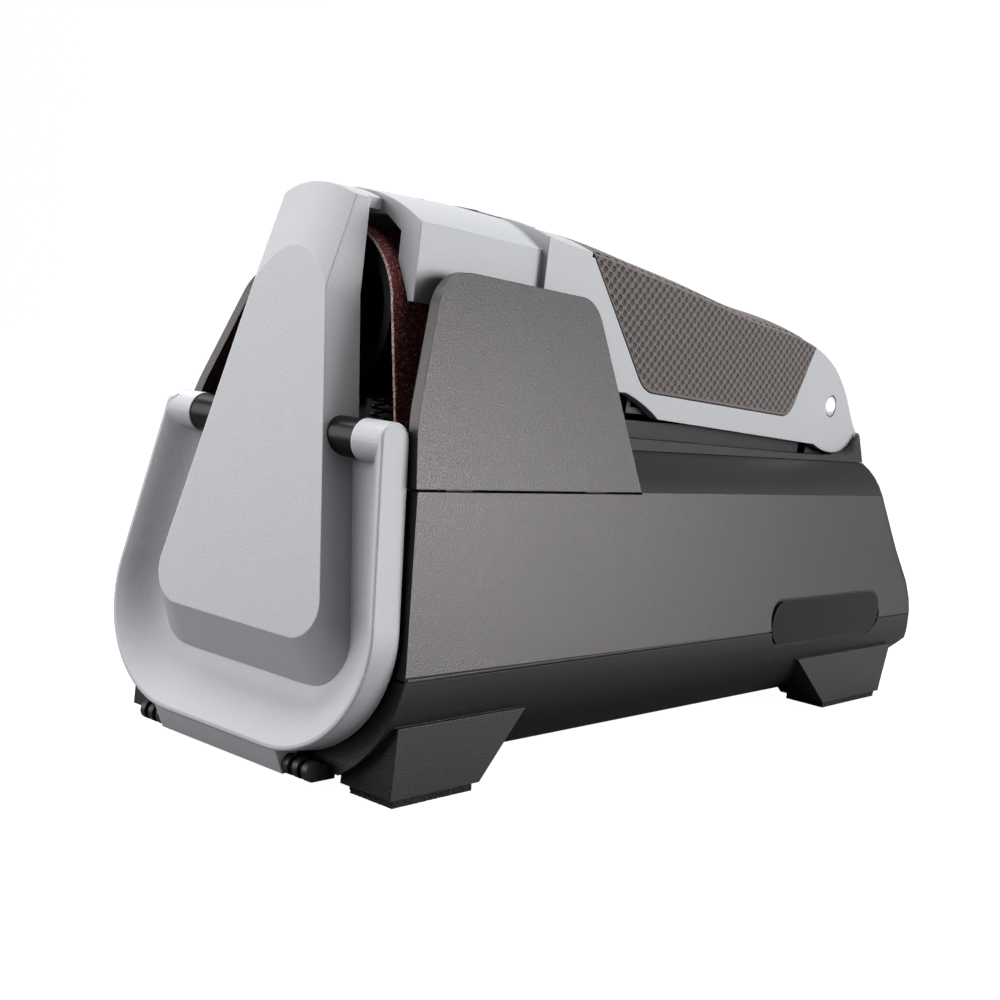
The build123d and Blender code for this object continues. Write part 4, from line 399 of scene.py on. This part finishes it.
# The ring pattern: steps along a row and to the next row, the place of one ring, and the sizes of a
# ring. Each pad is a grid of columns and rows whose rim is rolled over and bears no rings.
RING_ALONG, RING_UP = Vector((0.00413, 0.00055)), Vector((0.00255, -0.00128))
RING_START = Vector((-0.04282, 0.13534))
RING_OUTER, RING_PIP, RING_DEPTH = 0.00102, 0.00042, 0.00045
PAD_COLUMNS, PAD_ROWS = 560, 124
PLAIN_RIM, RING_FADE = 0.0006, 0.0006
GROOVE_FROM, GROOVE_TO = 0.45 * RING_DEPTH, 1.2 * RING_DEPTH
FACE_TOLERANCE, END_INSET = 2e-5, 1e-5
RIM_ROLL, RIM_ROLL_WIDTH = 0.00025, 0.0005


def ring_drop(y, z):
    """Depth of the ring pattern at a point of the pad's face."""
    area = RING_ALONG.x * RING_UP.y - RING_ALONG.y * RING_UP.x
    dy, dz = y - RING_START.x, z - RING_START.y
    a = round((dy * RING_UP.y - dz * RING_UP.x) / area)
    b = round((RING_ALONG.x * dz - RING_ALONG.y * dy) / area)
    near = 1.0
    for i in (a - 1, a, a + 1):
        for j in (b - 1, b, b + 1):
            centre = RING_START + RING_ALONG * i + RING_UP * j
            near = min(near, math.hypot(y - centre.x, z - centre.y))
    if near > RING_OUTER:
        return 0.0
    if near < RING_PIP:
        return RING_DEPTH * (0.25 + 0.75 * (near / RING_PIP) ** 2)
    share = (near - RING_PIP) / (RING_OUTER - RING_PIP)
    return RING_DEPTH * (1 - share ** 2) ** 0.5


def side_pad(name, side):
    """Pad on one side: a fine grid over the outer face's own outline, with walls down to the arm."""
    source = node[name].data
    face_x = max(side * v.co.x for v in source.vertices)
    back_x = min(side * v.co.x for v in source.vertices)
    count = {}
    for face in source.polygons:
        if all(side * source.vertices[i].co.x > face_x - FACE_TOLERANCE for i in face.vertices):
            ring = [source.vertices[i].co for i in face.vertices]
            for p, q in zip(ring, ring[1:] + ring[:1]):
                ends = tuple(sorted(((round(p.y, 6), round(p.z, 6)), (round(q.y, 6), round(q.z, 6)))))
                count[ends] = count.get(ends, 0) + 1
    border = [ends for ends, uses in count.items() if uses == 1]
    first = min(p[0] for ends in border for p in ends) + END_INSET
    last = max(p[0] for ends in border for p in ends) - END_INSET
    verts, faces = [], []
    for i in range(PAD_COLUMNS + 1):
        y = first + (last - first) * i / PAD_COLUMNS
        heights = []
        for (y0, z0), (y1, z1) in border:
            if (y0 - y) * (y1 - y) <= 0 and y0 != y1:
                heights.append(z0 + (z1 - z0) * (y - y0) / (y1 - y0))
        low_z, high_z = min(heights), max(heights)
        for j in range(PAD_ROWS + 1):
            z = low_z + (high_z - low_z) * j / PAD_ROWS
            edge = min(y - first, last - y, z - low_z, high_z - z)
            fade = min(1.0, max(0.0, edge - PLAIN_RIM) / RING_FADE)
            roll = RIM_ROLL * (1 - min(1.0, edge / RIM_ROLL_WIDTH)) ** 2
            verts.append((side * (face_x - ring_drop(y, z) * fade - roll), y, z))
    column = PAD_ROWS + 1
    for i in range(PAD_COLUMNS):
        for j in range(PAD_ROWS):
            k = i * column + j
            quad = (k, k + column, k + column + 1, k + 1)
            faces.append(quad if side > 0 else quad[::-1])
    edge_loop = [i * column for i in range(PAD_COLUMNS + 1)]
    edge_loop += [PAD_COLUMNS * column + j for j in range(1, PAD_ROWS + 1)]
    edge_loop += [i * column + PAD_ROWS for i in range(PAD_COLUMNS - 1, -1, -1)]
    edge_loop += list(range(PAD_ROWS - 1, 0, -1))
    start = len(verts)
    for k in edge_loop:
        verts.append((side * back_x, verts[k][1], verts[k][2]))
    total = len(edge_loop)
    for i in range(total):
        j = (i + 1) % total
        quad = (edge_loop[i], start + i, start + j, edge_loop[j])
        faces.append(quad if side > 0 else quad[::-1])
    back_face = tuple(range(start, start + total))
    faces.append(back_face[::-1] if side > 0 else back_face)
    pad = mesh_piece("ringed_" + name, verts, faces)
    pad.data.materials.append(rubber)
    pad.data.materials.append(groove_shade_rubber)
    for face in pad.data.polygons:
        depth = face_x - side * face.center.x
        face.material_index = int(len(face.vertices) == 4 and GROOVE_FROM < depth < GROOVE_TO)
    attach(pad, "arm")
    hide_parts(name)


side_pad("grip_pad_right", 1)
side_pad("grip_pad_left", -1)

# ---------------------------------------------------------------- control panel, buttons, lamps
# A satin black strip let into the arm's top, with two domed push buttons, and three smoky lenses
# on the nose that light up from behind.
panel_black = plastic("satin_black_panel", (0.02, 0.02, 0.021), (0.09, 0.09, 0.092), size=0.3,
                      depth=0.06, speckle=0.3, rough=0.36, radius=0.25)
dress(panel_black, "control_panel")
button_gray = plastic("soft_button_gray", (0.16, 0.163, 0.17), (0.34, 0.345, 0.36), size=0.3,
                      depth=0.12, speckle=0.4, rough=0.55, radius=0.4)
dress(button_gray, "power_button", "program_button")
lens = plastic("smoky_lens", (0.08, 0.085, 0.09), (0.3, 0.31, 0.33), size=0.8, depth=0.02,
               speckle=0.1, rough=0.12, IOR=1.49, Coat_Weight=0.6)
dress(lens, "indicator_lenses")

# ---------------------------------------------------------------- button board and switches
# A small glass-fibre board on two posts in the arm's nose, with a soldered tact switch under each
# button.
fibre = Recipe(
    "glass_fibre",
    [("Mask Color", COLOUR, (0.02, 0.1, 0.05, 1)), ("Weave Size", FLOAT, 0.6),
     ("Weave Show", FLOAT, 0.3)],
    [("Color", COLOUR), ("Roughness", FLOAT), ("Normal", VECTOR)],
)
spot = fibre.step("TexCoord").outputs["Object"]
pace = fibre.math("DIVIDE", 400.0, fibre.given["Weave Size"])
threads = []
for direction in ("X", "Y"):
    band = fibre.step("TexWave", bands_direction=direction, Distortion=0.4, Detail=1.0)
    fibre.wire(spot, band.inputs["Vector"])
    fibre.wire(pace, band.inputs["Scale"])
    threads.append(band.outputs["Fac"])
cloth = fibre.math("MULTIPLY", *threads)
patch = fibre.ramp(fibre.noise(spot, 220.0, 1.0), 0.52, 0.56)
fibre.wire(fibre.scaled(fibre.given["Mask Color"],
                        fibre.math("MULTIPLY", fibre.centred(cloth, fibre.given["Weave Show"]),
                                   fibre.ramp(patch, 0.0, 1.0, 1.0, 1.5))), fibre.gives["Color"])
fibre.wire(fibre.ramp(patch, 0.0, 1.0, 0.42, 0.3), fibre.gives["Roughness"])
fibre.wire(fibre.relief(cloth, fibre.given["Weave Show"], distance=0.0002), fibre.gives["Normal"])
board_green = finish("solder_mask_board", fibre, {"Mask Color": (0.015, 0.085, 0.045, 1)}, Coat_Weight=0.3)
dress(board_green, "control_board", "main_board")
switch_black = plastic("switch_nylon", (0.015, 0.015, 0.016), (0.06, 0.06, 0.06), size=0.25,
                       depth=0.1, rough=0.5)
dress(switch_black, "tact_switches")

# ---------------------------------------------------------------- pivot pin
# Turned and ground steel, pressed through both ears of the deck. Its domed ends show fine turning
# marks.
turned = Recipe(
    "worked_metal",
    [("Metal Color", COLOUR, (0.7, 0.7, 0.7, 1)), ("Stain Color", COLOUR, (0.4, 0.38, 0.36, 1)),
     ("Stretch", VECTOR, (1.0, 1.0, 1.0)), ("Line Size", FLOAT, 0.3), ("Line Depth", FLOAT, 0.2),
     ("Stain", FLOAT, 0.3), ("Roughness", FLOAT, 0.3)],
    [("Color", COLOUR), ("Roughness", FLOAT), ("Normal", VECTOR)],
)
spot = turned.step("TexCoord").outputs["Object"]
drawn = turned.step("VectorMath", spot, turned.given["Stretch"], operation="MULTIPLY").outputs[0]
marks = turned.noise(drawn, turned.math("DIVIDE", 1000.0, turned.given["Line Size"]), 3.0, 0.6)
blotch = turned.ramp(turned.noise(spot, 90.0, 4.0, 0.65), 0.5, 0.72)
turned.wire(turned.scaled(turned.mix(turned.math("MULTIPLY", blotch, turned.given["Stain"]),
                                     turned.given["Metal Color"], turned.given["Stain Color"]),
                          turned.centred(marks, 0.25)), turned.gives["Color"])
turned.wire(turned.math("MULTIPLY", turned.given["Roughness"], turned.centred(marks, 0.6)),
            turned.gives["Roughness"])
turned.wire(turned.relief(marks, turned.given["Line Depth"], distance=0.0002), turned.gives["Normal"])


def metal(name, colour, stain=(0.35, 0.33, 0.31), stretch=(1, 1, 1), size=0.3, depth=0.25,
          stained=0.3, rough=0.3):
    return finish(name, turned, {
        "Metal Color": (*colour, 1), "Stain Color": (*stain, 1), "Stretch": stretch, "Line Size": size,
        "Line Depth": depth, "Stain": stained, "Roughness": rough}, Metallic=1.0)


pin_steel = metal("ground_pin_steel", (0.86, 0.86, 0.87), stretch=(6, 1, 1), size=0.5, stained=0.05,
                  rough=0.5)
dress(pin_steel, "pivot_pin")

# ---------------------------------------------------------------- front guide
# One light gray moulding: a dished panel that turns on the tray's ribs, two ears, and the tower
# with its short roof. The tower's front is bare. It has the arm's plastic and colour.
dress(light_gray, "front_guide")

# ---------------------------------------------------------------- guide rods and hinge pins
# Two short satin black rods between tower and ears, which the knife rests on, and two plain steel
# pins that the guide turns on.
rod_black = plastic("satin_black_rod", (0.004, 0.004, 0.005), (0.008, 0.008, 0.009), size=0.3,
                    depth=0.05, speckle=0.3, rough=0.3, radius=0.2, Specular_IOR_Level=0.16)
dress(rod_black, "guide_rods")
plain_steel = metal("plain_pin_steel", (0.62, 0.62, 0.63), stretch=(0.2, 1, 1), rough=0.32)
dress(plain_steel, "guide_hinge_pins")

# ---------------------------------------------------------------- abrasive belt
# An endless cloth belt, coated with maroon aluminium-oxide grit; here and there a grain carries a
# painted glint. It was slit from a wide roll, so its edges are ragged and show the pale backing,
# which has painted glints too.
grit = Recipe(
    "abrasive_grit",
    [("Binder Color", COLOUR, (0.07, 0.011, 0.012, 1)), ("Grain Color", COLOUR, (0.23, 0.048, 0.046, 1)),
     ("Glint Color", COLOUR, (0.8, 0.5, 0.47, 1)), ("Grain Size", FLOAT, 0.24), ("Glints", FLOAT, 0.06),
     ("Relief", FLOAT, 0.8)],
    [("Color", COLOUR), ("Roughness", FLOAT), ("Normal", VECTOR)],
)
spot = grit.step("TexCoord").outputs["Object"]
cells = grit.step("TexVoronoi", feature="F1")
grit.wire(spot, cells.inputs["Vector"])
grit.wire(grit.math("DIVIDE", 1000.0, grit.given["Grain Size"]), cells.inputs["Scale"])
chance = grit.step("SeparateColor", cells.outputs["Color"]).outputs[0]
grains = grit.mix(chance, grit.given["Binder Color"], grit.given["Grain Color"])
# A few grains picked at random take the glint colour: a painted glint.
painted_glint = grit.math("GREATER_THAN", chance, grit.math("SUBTRACT", 1.0, grit.given["Glints"]))
grit.wire(grit.mix(painted_glint, grains, grit.given["Glint Color"]), grit.gives["Color"])
grit.wire(grit.ramp(chance, 0.0, 1.0, 0.85, 0.4), grit.gives["Roughness"])
grit.wire(grit.relief(cells.outputs["Distance"], grit.given["Relief"], distance=0.0003),
          grit.gives["Normal"])
maroon = finish("maroon_grit", grit, {}, Specular_IOR_Level=0.25)
slit_edge = finish("slit_cloth_edge", grit, {
    "Binder Color": (0.34, 0.17, 0.15, 1), "Grain Color": (0.85, 0.62, 0.56, 1),
    "Glint Color": (0.95, 0.85, 0.8, 1), "Grain Size": 0.35, "Glints": 0.2})
belt_cloth = plastic("belt_backing_cloth", (0.2, 0.13, 0.09), (0.3, 0.2, 0.15), size=0.6, depth=0.8,
                     speckle=0.8, rough=0.9)

# The top pulley and the two lower rollers, each with its centre (x, z) and radius, the belt's faces
# above them, and the depths and paces of its roughness and its frayed edges.
ROLLERS = [((0.0, 0.1165), 0.0220), ((-0.026, 0.042), 0.0100), ((0.026, 0.042), 0.0100)]
BELT_INSIDE, BELT_OUTSIDE = 0.0003, 0.0012
LOOP_STEPS, BELT_PITCH, BELT_CELLS = 1440, 0.00055, 34
GRIT_SINK, GRIT_DEPTH, GRIT_PACE = 0.00006, 0.00010, 3000
FRAY_DEPTH, FRAY_PACE, EDGE_SINK = 0.00022, 1800, 0.00012


def loop_points(grow, pitch):
    """Even points on the belt's line round its three rollers."""
    wrapped = []
    for k in range(LOOP_STEPS):
        angle = 2 * math.pi * k / LOOP_STEPS
        nx, nz = math.cos(angle), math.sin(angle)
        (cx, cz), r = max(ROLLERS, key=lambda roller: roller[0][0] * nx + roller[0][1] * nz + roller[1])
        wrapped.append(Vector((cx + (r + grow) * nx, cz + (r + grow) * nz)))
    runs = [(b - a).length for a, b in zip(wrapped, wrapped[1:] + wrapped[:1])]
    whole = sum(runs)
    number = int(whole / pitch)
    points, k, gone = [], 0, 0.0
    for n in range(number):
        target = whole * n / number
        while gone + runs[k] < target:
            gone += runs[k]
            k += 1
        a, b = wrapped[k], wrapped[(k + 1) % len(wrapped)]
        share = (target - gone) / runs[k] if runs[k] else 0
        points.append(a.lerp(b, share))
    return points


def outward_at(line, k):
    """Direction away from a loop at one of its points."""
    run = (line[(k + 1) % len(line)] - line[k - 1]).normalized()
    return Vector((run.y, -run.x))


low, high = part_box("abrasive_belt")
outer_line = loop_points(BELT_OUTSIDE, BELT_PITCH)
verts, faces, slots = [], [], []
ring_size = BELT_CELLS + 1
for k, point in enumerate(outer_line):
    outward = outward_at(outer_line, k)
    for j in range(ring_size):
        y = low[1] + (high[1] - low[1]) * j / BELT_CELLS
        here = Vector((point.x, y, point.y))
        bite = GRIT_SINK + GRIT_DEPTH * noise.noise(here * GRIT_PACE)
        if j in (0, BELT_CELLS):
            fray = FRAY_DEPTH * abs(noise.noise(here * FRAY_PACE))
            y += fray if j == 0 else -fray
            bite += EDGE_SINK
        place = point - outward * max(bite, 0.0)
        verts.append((place.x, y, place.y))
inner_start = len(verts)
for k, point in enumerate(outer_line):
    place = point - outward_at(outer_line, k) * (BELT_OUTSIDE - BELT_INSIDE)
    for y in (low[1], high[1]):
        verts.append((place.x, y, place.y))
total = len(outer_line)
for k in range(total):
    n = (k + 1) % total
    for j in range(BELT_CELLS):
        a, b = k * ring_size + j, n * ring_size + j
        faces.append((a, a + 1, b + 1, b))
        slots.append(0)
    a, b, c, d = k * ring_size, n * ring_size, inner_start + 2 * k, inner_start + 2 * n
    faces.append((a, b, d, c))
    slots.append(1)
    faces.append((a + BELT_CELLS, c + 1, d + 1, b + BELT_CELLS))
    slots.append(1)
    faces.append((c, d, d + 1, c + 1))
    slots.append(2)
belt = mesh_piece("grit_belt", verts, faces)
shape = bmesh.new()
shape.from_mesh(belt.data)
bmesh.ops.recalc_face_normals(shape, faces=shape.faces)
shape.to_mesh(belt.data)
shape.free()
for material in (maroon, slit_edge, belt_cloth):
    belt.data.materials.append(material)
for face, slot in zip(belt.data.polygons, slots):
    face.material_index = slot
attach(belt, "base")
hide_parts("abrasive_belt")

# ---------------------------------------------------------------- pulleys, rollers and their bearings
# The two lower rollers and the top pulley are glass-filled nylon, turned after moulding. The idler
# and the pulley run on ball bearings on ground axles.
roller_nylon = plastic("glass_filled_nylon", (0.006, 0.006, 0.007), (0.03, 0.03, 0.032), size=0.5,
                       depth=0.2, speckle=0.8, rough=0.42, radius=0.2, Specular_IOR_Level=0.2)
dress(roller_nylon, "top_pulley", "idler_roller", "drive_roller")
bearing_steel = metal("bearing_steel", (0.7, 0.7, 0.71), size=0.25, stained=0.15, rough=0.2)
dress(bearing_steel, "top_pulley_bearings", "idler_bearings")
axle_steel = metal("ground_axle_steel", (0.66, 0.66, 0.67), stretch=(1, 0.1, 1), stained=0.1, rough=0.25)
dress(axle_steel, "top_axle", "idler_axle", "motor_shaft")

# ---------------------------------------------------------------- belt frame, carriage and spring
# A pressed frame of blackened steel holds the rollers. The zinc-plated carriage slides in it on a
# wound spring, which keeps the belt tight.
zinc = metal("zinc_plate", (0.5, 0.5, 0.49), stain=(0.36, 0.37, 0.42), size=1.6, depth=0.1,
             stained=0.7, rough=0.42)
dress(zinc, "tension_carriage", "motor_end_cap")
frame_black = metal("blackened_frame_steel", (0.035, 0.035, 0.037), stain=(0.06, 0.05, 0.045),
                    size=0.8, depth=0.2, stained=0.5, rough=0.55)
dress(frame_black, "belt_frame")
spring_steel = metal("spring_wire", (0.22, 0.22, 0.225), size=0.2, depth=0.1, stained=0.2, rough=0.35)
dress(spring_steel, "tension_spring")

# ---------------------------------------------------------------- belt bay
# A thin black trough that keeps grinding dust out of the housing.
bay_black = plastic("black_bay_abs", (0.012, 0.0115, 0.012), (0.03, 0.029, 0.03), size=0.5,
                    speckle=0.6, rough=0.6, corner=0.9)
dress(bay_black, "belt_bay")

# ---------------------------------------------------------------- motor
# A brushed motor in a drawn steel can with a pressed end cap. Two ferrite magnets are glued inside,
# and the armature is a stack of iron plates wound with enamelled copper.
can_steel = metal("drawn_can_steel", (0.58, 0.58, 0.585), stretch=(1, 0.08, 1), size=0.5,
                  stained=0.35, rough=0.33)
dress(can_steel, "motor_can")
screw_zinc = metal("zinc_screw_steel", (0.55, 0.55, 0.53), stain=(0.42, 0.4, 0.3), size=0.5,
                   stained=0.5, rough=0.34)
dress(screw_zinc, "motor_screws", "case_screws")
ferrite = plastic("sintered_ferrite", (0.03, 0.029, 0.03), (0.06, 0.058, 0.06), size=0.3, depth=0.5,
                  speckle=0.8, rough=0.65)
dress(ferrite, "motor_magnets")
wound = Recipe(
    "enamelled_winding",
    [("Wire Color", COLOUR, (0.5, 0.2, 0.08, 1)), ("Gap Color", COLOUR, (0.03, 0.012, 0.008, 1)),
     ("Wire Size", FLOAT, 0.5), ("Relief", FLOAT, 0.9)],
    [("Color", COLOUR), ("Roughness", FLOAT), ("Normal", VECTOR)],
)
spot = wound.step("TexCoord").outputs["Object"]
turns = wound.step("TexWave", bands_direction="Y", Distortion=0.8, Detail=1.0)
wound.wire(spot, turns.inputs["Vector"])
wound.wire(wound.math("DIVIDE", 314.0, wound.given["Wire Size"]), turns.inputs["Scale"])
crown = turns.outputs["Fac"]
wound.wire(wound.mix(wound.ramp(crown, 0.05, 0.45), wound.given["Gap Color"], wound.given["Wire Color"]),
           wound.gives["Color"])
wound.wire(wound.ramp(crown, 0.0, 1.0, 0.6, 0.25), wound.gives["Roughness"])
wound.wire(wound.relief(crown, wound.given["Relief"], distance=0.0003), wound.gives["Normal"])
copper_wire = finish("enamelled_copper", wound, {}, Metallic=0.8, Coat_Weight=0.4)
dress(copper_wire, "motor_armature")
segment_copper = metal("commutator_copper", (0.72, 0.38, 0.24), stain=(0.2, 0.12, 0.09),
                       stretch=(1, 4, 1), size=0.6, stained=0.7, rough=0.28)
dress(segment_copper, "motor_commutator")
carbon = plastic("pressed_carbon", (0.02, 0.02, 0.021), (0.05, 0.05, 0.052), size=0.25, depth=0.4,
                 speckle=1.0, rough=0.55)
dress(carbon, "motor_brushes")
fan_nylon = plastic("white_fan_nylon", (0.5, 0.5, 0.47), (0.62, 0.62, 0.6), size=0.4, speckle=0.2, rough=0.5)
dress(fan_nylon, "motor_fan")

# ---------------------------------------------------------------- main board parts
# Transformer with a taped winding, two capacitors in plastic sleeves, a potted relay and an
# extruded heat sink, all soldered to the main board.
tape = plastic("yellow_winding_tape", (0.55, 0.38, 0.05), (0.7, 0.55, 0.15), size=0.8, depth=0.15,
               mottle=0.4, speckle=0.2, rough=0.35)
dress(tape, "transformer")
sleeve = plastic("capacitor_sleeve", (0.01, 0.012, 0.03), (0.1, 0.1, 0.14), size=0.9, depth=0.05,
                 speckle=0.15, rough=0.3)
dress(sleeve, "capacitors")
relay_case = plastic("relay_case", (0.012, 0.03, 0.09), (0.1, 0.14, 0.22), size=0.4, depth=0.1,
                     speckle=0.3, rough=0.38)
dress(relay_case, "relay")
sink = metal("anodised_aluminium", (0.6, 0.61, 0.62), stretch=(1, 1, 0.05), size=0.4, depth=0.3,
             stained=0.1, rough=0.4)
dress(sink, "heat_sink")

# ---------------------------------------------------------------- rear grille and inlet
# The grille is a slotted black plate pressed into the rear wall, above the inlet: a moulded socket
# for the power lead's plug.
dress(deck_black, "rear_grille")
socket_black = plastic("socket_nylon", (0.012, 0.012, 0.012), (0.07, 0.07, 0.07), size=0.3, depth=0.1,
                       speckle=0.3, rough=0.42)
dress(socket_black, "power_inlet")
